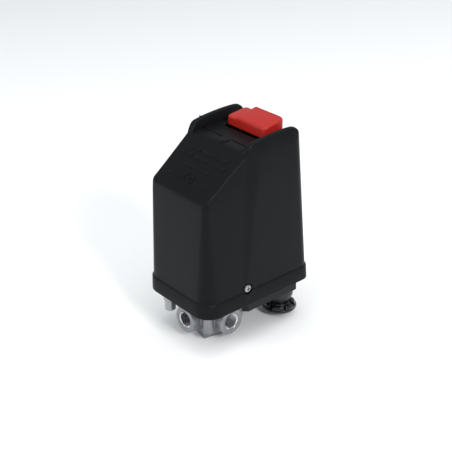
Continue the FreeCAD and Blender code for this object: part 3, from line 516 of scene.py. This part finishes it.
bmesh.update_edit_mesh(cover.data)
bpy.ops.mesh.bridge_edge_loops()
bpy.ops.object.mode_set(mode="OBJECT")


def fitted(piece, finish, slot, body, *nodes):
    """Give a finished piece its material, its smooth shading and its body, and hide the parts it stands
    for.
    """
    piece.data.materials.clear()
    piece.data.materials.append(finish)
    nothing_selected()
    piece.select_set(True)
    bpy.context.view_layer.objects.active = piece
    bpy.ops.object.shade_smooth_by_angle(angle=math.radians(28))
    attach(piece, body)
    if nodes:
        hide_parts(*nodes)
    return piece


fitted(cover, abs_black, "black_cover", "housing", "cover")


# ------------------------------------------------------------------ raised marks on the cover
# Low ribs and discs moulded in one with the cover: a rib across the shelf broken by a round boss, and
# rows of plain bars with a ring on the sloping front. They are sunk a little way into the cover.

def joined(name, parts):
    """Make several forms one piece."""
    nothing_selected()
    for part in parts:
        part.select_set(True)
    bpy.context.view_layer.objects.active = parts[0]
    bpy.ops.object.join()
    parts[0].name = name
    return parts[0]


def low_bar(across, along, length, width, rise):
    """A bar with soft upper edges, flat on the ground at a place."""
    nothing_selected()
    bpy.ops.mesh.primitive_cube_add(size=1, location=(0, 0, 0))
    bar = bpy.context.object
    for vertex in bar.data.vertices:
        x, y, z = vertex.co
        vertex.co = (across + x * length, along + y * width, (z + 0.1) * rise / 0.6)
    return bevelled(bar, 0.3 * rise, 2, lambda middle, angle: middle.z > 0 and angle > SHARP_EDGE)


def low_disc(across, along, outer, inner, rise):
    """A disc or a ring with soft upper edges, flat on the ground at a place."""
    nothing_selected()
    bpy.ops.mesh.primitive_cylinder_add(vertices=48, radius=outer, depth=rise / 0.6, location=(0, 0, 0))
    disc = bpy.context.object
    if inner:
        bpy.ops.mesh.primitive_cylinder_add(vertices=48, radius=inner, depth=rise * 3, location=(0, 0, 0))
        carved(disc, bpy.context.object)
    for vertex in disc.data.vertices:
        vertex.co = (across + vertex.co.x, along + vertex.co.y, vertex.co.z + 0.1 * rise / 0.6)
    return bevelled(disc, 0.3 * rise, 2, lambda middle, angle: middle.z > 0 and angle > SHARP_EDGE)


RIB_RISE = 0.6 * MM
shelf_marks = joined("shelf_marks", [
    low_disc(0, 14.2 * MM, 5.2 * MM, 0, RIB_RISE),
    low_bar(-17.1 * MM, 17.9 * MM, 21.8 * MM, 1.4 * MM, RIB_RISE),
    low_bar(17.1 * MM, 17.9 * MM, 21.8 * MM, 1.4 * MM, RIB_RISE),
])
for vertex in shelf_marks.data.vertices:
    vertex.co.z += SHELF_TOP
fitted(shelf_marks, abs_black, "black_cover", "housing")

BAR_RISE = 0.35 * MM
slope_forms = [
    low_disc(0, 15 * MM, 5.2 * MM, 4.3 * MM, BAR_RISE),
    low_disc(0, 15 * MM, 1.6 * MM, 0, BAR_RISE),
]
for along, width, spans in (
    # place up the slope, width of the row and the ends of its bars, in mm
    (38.5, 2.6, ((-20.5, -8.5), (-5.5, 21.5))),
    (32.0, 2.6, ((-26.5, -12.5), (-10.0, 5.0), (7.5, 25.0))),
    (24.0, 2.2, ((-13.5, 14.0),)),
    (13.0, 2.2, ((-22.5, -8.0), (8.0, 21.5))),
):
    for left, right in spans:
        bar = low_bar((left + right) / 2 * MM, along * MM, (right - left) * MM, width * MM, BAR_RISE)
        slope_forms.append(bar)
slope_marks = joined("slope_marks", slope_forms)
for vertex in slope_marks.data.vertices:
    across, along, rise = vertex.co
    vertex.co = (
        across,
        SLOPE_FOOT.x + slope_along.x * along - slope_along.y * rise,
        SLOPE_FOOT.y + slope_along.y * along + slope_along.x * rise,
    )
fitted(slope_marks, abs_black, "black_cover", "housing")


# ------------------------------------------------------------------ knob
# A red push-pull knob, moulded hollow in glossy ABS and pressed on to a black slider. Its top rises
# to the rear, and its left third is lower, for the thumb.

red_abs, red_shader = new_material(
    "polished_red_abs", Base_Color=linear("a62018"), Roughness=0.3, IOR=1.53, Specular_IOR_Level=0.3)
# A polished mould leaves waves some 3 mm long in the gloss, and a slight unevenness of colour.
place_red = add_node(red_abs, "ShaderNodeTexCoord")
waves = add_node(red_abs, "ShaderNodeTexNoise", {"Scale": 1 / (3 * MM), "Detail": 2.0},
                 {"Vector": place_red.outputs["Object"]})
red_shade = add_node(red_abs, "ShaderNodeMixRGB", {"Color1": linear("a01e17"), "Color2": linear("ac2219")},
                     {"Fac": waves.outputs["Fac"]})
red_gloss = add_node(red_abs, "ShaderNodeMapRange", {"To Min": 0.24, "To Max": 0.38},
                     {"Value": waves.outputs["Fac"]})
red_relief = add_node(red_abs, "ShaderNodeBump", {"Strength": 0.12, "Distance": 0.08 * MM},
                      {"Height": waves.outputs["Fac"]})
red_abs.node_tree.links.new(red_shade.outputs["Color"], red_shader.inputs["Base Color"])
red_abs.node_tree.links.new(red_gloss.outputs["Result"], red_shader.inputs["Roughness"])
red_abs.node_tree.links.new(red_relief.outputs["Normal"], red_shader.inputs["Normal"])

# The cap is moulded a little wider than the solid that it stands for, and its corners are rounded.
knob_low, knob_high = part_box("knob_cap")
KNOB_LIP = 2 * MM
knob_low.x -= KNOB_LIP
knob_high.x += KNOB_LIP
knob_middle = (knob_low.y + knob_high.y) / 2
KNOB_CORNER = 3 * MM
corner_front = knob_low.y + KNOB_CORNER
corner_rear = knob_high.y - KNOB_CORNER
corner_right = knob_high.x - KNOB_CORNER
corner_left = knob_low.x + KNOB_CORNER
knob_plan = []
for x, y, start in (
    (corner_right, corner_front, -90), (corner_right, corner_rear, 0),
    (corner_left, corner_rear, 90), (corner_left, corner_front, 180),
):
    knob_plan += corner_arc(x, y, KNOB_CORNER, start, 8)
knob = extruded("knob", knob_plan, knob_low.z, knob_high.z + 2 * MM, "Z")
over_knob = [
    (knob_low.y - 2 * MM, knob_high.z - 4.6 * MM), (knob_low.y + 1.7 * MM, knob_high.z - 3.4 * MM),
    (knob_high.y - 0.4 * MM, knob_high.z), (knob_high.y + 5 * MM, knob_high.z + 0.6 * MM),
    (knob_high.y + 5 * MM, knob_high.z + 9 * MM), (knob_low.y - 2 * MM, knob_high.z + 9 * MM),
]
carved(knob, extruded("over_knob", over_knob, knob_low.x - 5 * MM, knob_high.x + 5 * MM, "X"))
step_side = [
    (knob_low.y - 10 * MM, knob_low.z + 5.6 * MM), (knob_high.y + 10 * MM, knob_low.z + 10.2 * MM),
    (knob_high.y + 10 * MM, knob_low.z + 20 * MM), (knob_low.y - 10 * MM, knob_low.z + 20 * MM),
]
thumb_step = extruded("thumb_step", step_side, knob_low.x - 1 * MM, knob_low.x + 10 * MM, "X")
for vertex in thumb_step.data.vertices:
    vertex.co.x += 2.2 * MM * (vertex.co.x > knob_low.x and vertex.co.z > knob_low.z + 15 * MM)
carved(knob, thumb_step)
bevelled(knob, 1.7 * MM, 5, lambda middle, angle: angle > SHARP_EDGE and middle.z > knob_low.z + 0.5 * MM)

# A socket in its underside takes the head of the slider.
SOCKET_HALF = 9.1 * MM
SOCKET_REACH = 6.1 * MM
SOCKET_DEPTH = 5.1 * MM
socket_plan = rectangle(-SOCKET_HALF, knob_middle - SOCKET_REACH, SOCKET_HALF, knob_middle + SOCKET_REACH)
carved(knob, extruded("socket", socket_plan, knob_low.z - 2 * MM, knob_low.z + SOCKET_DEPTH, "Z"))
fitted(knob, red_abs, "red_knob", "knob", "knob_cap")


# ------------------------------------------------------------------ manifold
# A zinc pressure die casting, tumbled dull: three side ports round a turned square tank port, with a
# screw pillar at each corner. The ports are tapped afterwards, so their threads are bright.

die_cast, die_cast_shader = new_material(
    "tumbled_die_cast_zinc", Base_Color=linear("a9aaad"), Metallic=0.85, Roughness=0.42)
# Flow marks some 8 mm wide and a tumbled grain of 0.4 mm.
place_zinc = add_node(die_cast, "ShaderNodeTexCoord")
flow_marks = add_node(die_cast, "ShaderNodeTexNoise", {"Scale": 1 / (8 * MM), "Detail": 4.0},
                      {"Vector": place_zinc.outputs["Object"]})
tumbled = add_node(die_cast, "ShaderNodeTexNoise", {"Scale": 1 / (0.4 * MM), "Detail": 2.0},
                   {"Vector": place_zinc.outputs["Object"]})
zinc_shade = add_node(die_cast, "ShaderNodeMixRGB",
                      {"Color1": linear("76787c"), "Color2": linear("9c9da0")},
                      {"Fac": flow_marks.outputs["Fac"]})
zinc_gloss = add_node(die_cast, "ShaderNodeMapRange", {"To Min": 0.34, "To Max": 0.52},
                      {"Value": tumbled.outputs["Fac"]})
zinc_relief = add_node(die_cast, "ShaderNodeBump", {"Strength": 0.25, "Distance": 0.06 * MM},
                       {"Height": tumbled.outputs["Fac"]})
die_cast.node_tree.links.new(zinc_shade.outputs["Color"], die_cast_shader.inputs["Base Color"])
die_cast.node_tree.links.new(zinc_gloss.outputs["Result"], die_cast_shader.inputs["Roughness"])
die_cast.node_tree.links.new(zinc_relief.outputs["Normal"], die_cast_shader.inputs["Normal"])

cut_zinc, cut_zinc_shader = new_material(
    "tapped_zinc", Base_Color=linear("c9cacd"), Metallic=1.0, Roughness=0.2)
# The tap leaves the gloss uneven, in spots of 0.3 mm.
place_cut = add_node(cut_zinc, "ShaderNodeTexCoord")
tap_marks = add_node(cut_zinc, "ShaderNodeTexNoise", {"Scale": 1 / (0.3 * MM), "Detail": 1.0},
                     {"Vector": place_cut.outputs["Object"]})
tap_gloss = add_node(cut_zinc, "ShaderNodeMapRange", {"To Min": 0.14, "To Max": 0.3},
                     {"Value": tap_marks.outputs["Fac"]})
cut_zinc.node_tree.links.new(tap_gloss.outputs["Result"], cut_zinc_shader.inputs["Roughness"])

PORT_LEVEL = 18 * MM
PORT_REACH = 26 * MM
PORT_BOSS = 11.1 * MM
PORT_DEPTH = 12 * MM
THREAD_PITCH = 1.337 * MM
TANK_HALF = 12.4 * MM
TANK_TURN = math.radians(-12)
PILLAR_PLACE = 14.5 * MM
FLANGE_HALF = 23 * MM
FLANGE_BASE = 28 * MM
FLANGE_TOP = 34.5 * MM
UNLOADER = Vector((-23.6 * MM, -22 * MM, 0))
SIDE_PORTS = [("front", (0, -1)), ("right", (1, 0)), ("left", (-1, 0))]


def rod(radius, start, end, segments=64):
    """A round bar between two points, as a form to join on or to cut with."""
    nothing_selected()
    start, end = Vector(start), Vector(end)
    bpy.ops.mesh.primitive_cylinder_add(
        vertices=segments, radius=radius, depth=(end - start).length, location=(start + end) / 2,
        rotation=(end - start).to_track_quat("Z", "Y").to_euler())
    bpy.ops.object.transform_apply(location=True, rotation=True, scale=True)
    return bpy.context.object


def spun(name, profile, segments):
    """A turned form: a closed profile of radius and height, spun round the vertical axis."""
    nothing_selected()
    bpy.ops.mesh.primitive_circle_add(
        vertices=len(profile), radius=0.01, fill_type="NOTHING", location=(0, 0, 0))
    piece = bpy.context.object
    piece.name = name
    for vertex, (radius, height) in zip(piece.data.vertices, profile):
        vertex.co = (radius, 0, height)
    return edited(
        piece,
        (bpy.ops.mesh.spin,
         {"steps": segments, "angle": math.tau, "center": (0, 0, 0), "axis": (0, 0, 1)}),
        (bpy.ops.mesh.remove_doubles, {"threshold": 0.002 * MM}),
        (bpy.ops.mesh.delete_loose, {"use_verts": True, "use_edges": True, "use_faces": False}),
        (bpy.ops.mesh.normals_make_consistent, {"inside": False}),
    )


def copied(piece, name, moved):
    """A copy with a mesh of its own, each of its points moved by a rule."""
    twin = piece.copy()
    twin.data = piece.data.copy()
    twin.name = name
    bpy.context.scene.collection.objects.link(twin)
    for vertex in twin.data.vertices:
        vertex.co = moved(vertex.co.copy())
    return edited(twin, (bpy.ops.mesh.normals_make_consistent, {"inside": False}))


def turned(outline, turn):
    """An outline turned about the upright axis."""
    return [(x * math.cos(turn) - y * math.sin(turn), x * math.sin(turn) + y * math.cos(turn))
            for x, y in outline]


def laid(piece, across, along, start):
    """Lay an upright form on its side along a port's axis, from a distance out from the middle."""
    outwards = Vector((across, along, 0))
    sideways = Vector((-along, across, 0))
    for vertex in piece.data.vertices:
        x, y, z = vertex.co
        vertex.co = Vector((0, 0, PORT_LEVEL + x)) + sideways * y + outwards * (start + z)
    return piece


tank_square = rectangle(-TANK_HALF, -TANK_HALF, TANK_HALF, TANK_HALF)
flange_square = rectangle(-FLANGE_HALF, -FLANGE_HALF, FLANGE_HALF, FLANGE_HALF)
forms = [
    extruded("die_cast_manifold", turned(tank_square, TANK_TURN), 0.0, PORT_LEVEL, "Z"),
    extruded("flange", flange_square, FLANGE_BASE, FLANGE_TOP, "Z"),
    rod(TANK_HALF - 1 * MM, (0, 0, 4 * MM), (0, 0, FLANGE_BASE + 2 * MM)),
    rod(PORT_BOSS, (0, 8 * MM, PORT_LEVEL), (0, -PORT_REACH, PORT_LEVEL)),
    rod(PORT_BOSS, (-PORT_REACH, 0, PORT_LEVEL), (PORT_REACH, 0, PORT_LEVEL)),
]
for across in (1, -1):
    for along in (1, -1):
        foot = Vector((across * PILLAR_PLACE, along * PILLAR_PLACE, 9.5 * MM))
        forms.append(rod(4.9 * MM, foot, foot + Vector((0, 0, FLANGE_BASE - 8 * MM))))
manifold = joined("die_cast_manifold", forms)

# A fine remesh makes the forms one casting, and smoothing rounds its corners as the die does.
nothing_selected()
bpy.context.view_layer.objects.active = manifold
casting = manifold.modifiers.new("casting", "REMESH")
casting.mode = "VOXEL"
casting.voxel_size = 0.5 * MM
bpy.ops.object.modifier_apply(modifier="casting")
soften = manifold.modifiers.new("soften", "SMOOTH")
soften.factor = 0.5
soften.iterations = 6
bpy.ops.object.modifier_apply(modifier="soften")

# The bores are drilled and tapped afterwards, so their edges stay crisp. Each profile gives the radius
# and the place along the axis, in mm.
tank_bore = [(0, -2), (8.2, -2), (8.2, 12), (4, 12), (4, 32.5), (13.5, 32.5), (13.5, 37), (0, 37)]
carved(manifold, spun("tank_bore", [(radius * MM, height * MM) for radius, height in tank_bore], 72))
carved(manifold, rod(5.7 * MM, UNLOADER + Vector((0, 0, 20 * MM)), UNLOADER + Vector((0, 0, 40 * MM))))
side_bore = [
    (0, 0), (3.5, 0), (3.5, 13), (5.6, 14), (6.5, 14), (6.5, 24.9), (7.1, 25.6), (7.3, 40), (0, 40),
]
for name, (across, along) in SIDE_PORTS:
    drilled = spun("side_bore", [(radius * MM, reach * MM) for radius, reach in side_bore], 64)
    laid(drilled, across, along, 0)
    carved(manifold, edited(drilled, (bpy.ops.mesh.normals_make_consistent, {"inside": False})))


def thread(name, outer, inner, pitch, length):
    """The ridge of an internal thread, along a vertical axis from the ground up."""
    nothing_selected()
    bpy.ops.mesh.primitive_circle_add(vertices=3, radius=0.001, fill_type="NOTHING", location=(0, 0, 0))
    ridge = bpy.context.object
    ridge.name = name
    profile = [(outer, 0.1 * pitch), (inner, 0.5 * pitch), (outer, 0.9 * pitch)]
    for vertex, (radius, height) in zip(ridge.data.vertices, profile):
        vertex.co = (radius, 0, height)
    winding = ridge.modifiers.new("winding", "SCREW")
    winding.steps = 48
    winding.render_steps = 48
    winding.screw_offset = pitch
    winding.iterations = int(length / pitch)
    bpy.ops.object.modifier_apply(modifier="winding")
    return edited(
        ridge,
        (bpy.ops.mesh.remove_doubles, {"threshold": 0.001 * MM}),
        (bpy.ops.mesh.fill_holes, {"sides": 4}),
        (bpy.ops.mesh.normals_make_consistent, {"inside": False}),
    )


threads = []
for name, (across, along) in SIDE_PORTS:
    ridge = thread(name, 6.75 * MM, 5.75 * MM, THREAD_PITCH, PORT_DEPTH - 1 * MM)
    threads.append(laid(ridge, across, along, PORT_REACH - PORT_DEPTH + 0.5 * MM))
threads.append(thread("tank", 8.4 * MM, 7.5 * MM, THREAD_PITCH, PORT_DEPTH - 2 * MM))
port_threads = joined("port_threads", threads)
edited(port_threads, (bpy.ops.mesh.normals_make_consistent, {"inside": False}))
fitted(port_threads, cut_zinc, "die_cast_zinc", "housing")
fitted(manifold, die_cast, "die_cast_zinc", "housing", "manifold")

# The bores keep the tap's bright finish.
manifold.data.materials.append(cut_zinc)
for face in manifold.data.polygons:
    x, y, z = face.center
    for name, (across, along) in SIDE_PORTS:
        reach = x * across + y * along
        off_axis = math.hypot(x * along + y * across, z - PORT_LEVEL)
        if off_axis < 7.4 * MM and PORT_REACH - PORT_DEPTH - 6 * MM < reach < PORT_REACH - 0.1 * MM:
            face.material_index = 1


# ------------------------------------------------------------------ clamping nuts of the cable glands
# Glossy black nylon nuts with a broad grip disc, whose rim is notched like a castle nut for the fingers.

gland_nylon, gland_shader = new_material(
    "glossy_black_nylon", Base_Color=linear("0b0b0d"), Roughness=0.22, IOR=1.53)
# Nylon shrinks unevenly in the mould, in shallow waves some 5 mm long.
place_gland = add_node(gland_nylon, "ShaderNodeTexCoord")
shrinkage = add_node(gland_nylon, "ShaderNodeTexNoise", {"Scale": 1 / (5 * MM), "Detail": 3.0},
                     {"Vector": place_gland.outputs["Object"]})
gland_shade = add_node(gland_nylon, "ShaderNodeMixRGB",
                       {"Color1": linear("09090b"), "Color2": linear("0f1013")},
                       {"Fac": shrinkage.outputs["Fac"]})
gland_gloss = add_node(gland_nylon, "ShaderNodeMapRange", {"To Min": 0.16, "To Max": 0.3},
                       {"Value": shrinkage.outputs["Fac"]})
gland_relief = add_node(gland_nylon, "ShaderNodeBump", {"Strength": 0.1, "Distance": 0.1 * MM},
                        {"Height": shrinkage.outputs["Fac"]})
gland_nylon.node_tree.links.new(gland_shade.outputs["Color"], gland_shader.inputs["Base Color"])
gland_nylon.node_tree.links.new(gland_gloss.outputs["Result"], gland_shader.inputs["Roughness"])
gland_nylon.node_tree.links.new(gland_relief.outputs["Normal"], gland_shader.inputs["Normal"])


CASTLE_NOTCHES = 7
NOTCH_FLOOR = 8.2 * MM
nut_profile = [
    # radius and height, in mm
    (4.9, 5.0), (12.6, 5.0), (13.6, 5.4), (14.1, 6.0), (14.3, 6.8), (14.0, 7.6), (13.3, 8.1),
    (12.9, 9.6), (12.3, 10.5), (11.4, 10.8), (10.2, 10.8), (9.4, 10.2), (8.9, 11.2), (9.2, 13.5),
    (10.3, 17.2), (7.55, 17.2), (7.55, 10.4), (6.6, 8.35), (4.9, 8.35),
]
grip_nut = spun("grip_nut", [(radius * MM, height * MM) for radius, height in nut_profile], 96)
for notch in range(CASTLE_NOTCHES):
    turn = math.tau * (notch + 0.5) / CASTLE_NOTCHES
    notch_plan = [(9.7 * MM, -1.3 * MM), (16 * MM, -2.0 * MM), (16 * MM, 2.0 * MM), (9.7 * MM, 1.3 * MM)]
    carved(grip_nut, extruded("notch", turned(notch_plan, turn), NOTCH_FLOOR, 12 * MM, "Z"))
bevelled(grip_nut, 0.5 * MM, 3, lambda middle, angle:
         angle > 40 and 8.3 * MM < middle.z < 11.5 * MM and middle.xy.length > 9.6 * MM)
for side, side_name in ((1, "right"), (-1, "left")):
    nut_low, nut_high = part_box(f"gland_nut_{side_name}")
    nut_middle = (nut_low + nut_high) / 2
    shift = Vector((nut_middle.x, nut_middle.y, 0))
    nut = copied(grip_nut, f"grip_nut_{side_name}", lambda point: point + shift)
    fitted(nut, gland_nylon, "gland_nylon", f"clamp_nut_{side_name}", f"gland_nut_{side_name}")
bpy.data.objects.remove(grip_nut, do_unlink=True)


# ------------------------------------------------------------------ cover screws
# Zinc-plated pan-head screws with a cross recess, one through each side of the cover into the base.

SCREW_ROOT = 31 * MM
zinc_plate, zinc_plate_shader = new_material(
    "bright_zinc_plated_steel", Base_Color=linear("c3c6ca"), Metallic=1.0, Roughness=0.28)
# The plating is bright with a blue cast, and cloudy in patches of 2 mm.
place_plate = add_node(zinc_plate, "ShaderNodeTexCoord")
clouds = add_node(zinc_plate, "ShaderNodeTexNoise", {"Scale": 1 / (2 * MM), "Detail": 3.0},
                  {"Vector": place_plate.outputs["Object"]})
plate_shade = add_node(zinc_plate, "ShaderNodeMixRGB",
                       {"Color1": linear("8d9399"), "Color2": linear("b2b4b6")},
                       {"Fac": clouds.outputs["Fac"]})
plate_gloss = add_node(zinc_plate, "ShaderNodeMapRange", {"To Min": 0.2, "To Max": 0.38},
                       {"Value": clouds.outputs["Fac"]})
zinc_plate.node_tree.links.new(plate_shade.outputs["Color"], zinc_plate_shader.inputs["Base Color"])
zinc_plate.node_tree.links.new(plate_gloss.outputs["Result"], zinc_plate_shader.inputs["Roughness"])

head_profile = [
    # radius and height, in mm
    (0, 0), (1.6, 0), (1.6, 5.2), (3.1, 5.2), (3.1, 6.0), (2.9, 6.4), (2.4, 6.7), (1.5, 6.88), (0, 6.9),
]
pan_head = spun("pan_head", [(radius * MM, height * MM) for radius, height in head_profile], 40)
for slot_half, slot_wide in ((1.75, 0.42), (0.42, 1.75)):
    cross = rectangle(-slot_half * MM, -slot_wide * MM, slot_half * MM, slot_wide * MM)
    carved(pan_head, extruded("cross", cross, 5.9 * MM, 8 * MM, "Z"))
screws = []
for side in (1, -1):
    screws.append(copied(pan_head, f"side_{side}", lambda point: Vector(
        (side * (SCREW_ROOT + point.z), SCREW_Y + point.x, SCREW_Z + point.y))))
bpy.data.objects.remove(pan_head, do_unlink=True)
fitted(joined("cover_pan_screws", screws), zinc_plate, "zinc_plated_steel", "housing", "cover_screws")


# ------------------------------------------------------------------ finishes of the other pieces
# The remaining pieces keep the shapes they are designed with. Most are inside the cover: stamped and
# turned steel, brass and copper, springs, rubber and mouldings, each with the finish of its own process.

FINISHES = [
    # name, slot, darker and lighter colour, metallic, least and most roughness, IOR, pattern in mm, relief
    ("glass_filled_black_nylon", "black_nylon", "0e0e10", "151619", 0.0, 0.38, 0.52, 1.53, 0.6, 0.2),
    ("dark_brown_phenolic", "phenolic", "2a1a12", "3a241a", 0.0, 0.30, 0.48, 1.60, 0.8, 0.15),
    ("natural_nylon", "carrier_plastic", "d6d1c0", "e6e2d4", 0.0, 0.35, 0.50, 1.53, 1.5, 0.1),
    ("ground_steel", "piston_steel", "8f9296", "b4b6b9", 1.0, 0.18, 0.30, 1.45, 0.4, 0.1),
    ("oiled_spring_wire", "spring_steel", "55575a", "85878a", 1.0, 0.25, 0.42, 1.45, 1.0, 0.1),
    ("nickel_plated_brass", "nickel_plated_brass", "8f9092", "aeb0b2", 1.0, 0.16, 0.30, 1.45, 1.2, 0.08),
    ("turned_brass", "brass", "b08a3e", "cfa956", 1.0, 0.22, 0.36, 1.45, 0.5, 0.1),
    ("stamped_copper", "copper", "a9573a", "cc7b58", 1.0, 0.24, 0.40, 1.45, 1.5, 0.1),
    ("moulded_nitrile_rubber", "rubber", "0f0f10", "191919", 0.0, 0.60, 0.80, 1.52, 0.9, 0.25),
]
finish_of_slot = {"gland_nylon": gland_nylon, "zinc_plated_steel": zinc_plate}
for name, slot, dark, light, metallic, least, most, ior, grain_size, relief_strength in FINISHES:
    finish, finish_shader = new_material(
        name, Metallic=metallic, IOR=ior, Specular_IOR_Level=0.5 if metallic else 0.2)
    finish_place = add_node(finish, "ShaderNodeTexCoord")
    texture = add_node(finish, "ShaderNodeTexNoise", {"Scale": 1 / (grain_size * MM), "Detail": 3.0},
                       {"Vector": finish_place.outputs["Object"]})
    finish_shade = add_node(finish, "ShaderNodeMixRGB", {"Color1": linear(dark), "Color2": linear(light)},
                            {"Fac": texture.outputs["Fac"]})
    finish_gloss = add_node(finish, "ShaderNodeMapRange", {"To Min": least, "To Max": most},
                            {"Value": texture.outputs["Fac"]})
    finish_relief = add_node(finish, "ShaderNodeBump", {"Strength": relief_strength, "Distance": 0.05 * MM},
                             {"Height": texture.outputs["Fac"]})
    finish.node_tree.links.new(finish_shade.outputs["Color"], finish_shader.inputs["Base Color"])
    finish.node_tree.links.new(finish_gloss.outputs["Result"], finish_shader.inputs["Roughness"])
    finish.node_tree.links.new(finish_relief.outputs["Normal"], finish_shader.inputs["Normal"])
    finish_of_slot[slot] = finish

slot_of_node = {part["node"]: part["material_slot"] for part in frame["record"]["subparts"]}
for node_name, node in frame["nodes"].items():
    if slot_of_node.get(node_name) in finish_of_slot:
        for holder in node.material_slots:
            holder.material = finish_of_slot[slot_of_node[node_name]]
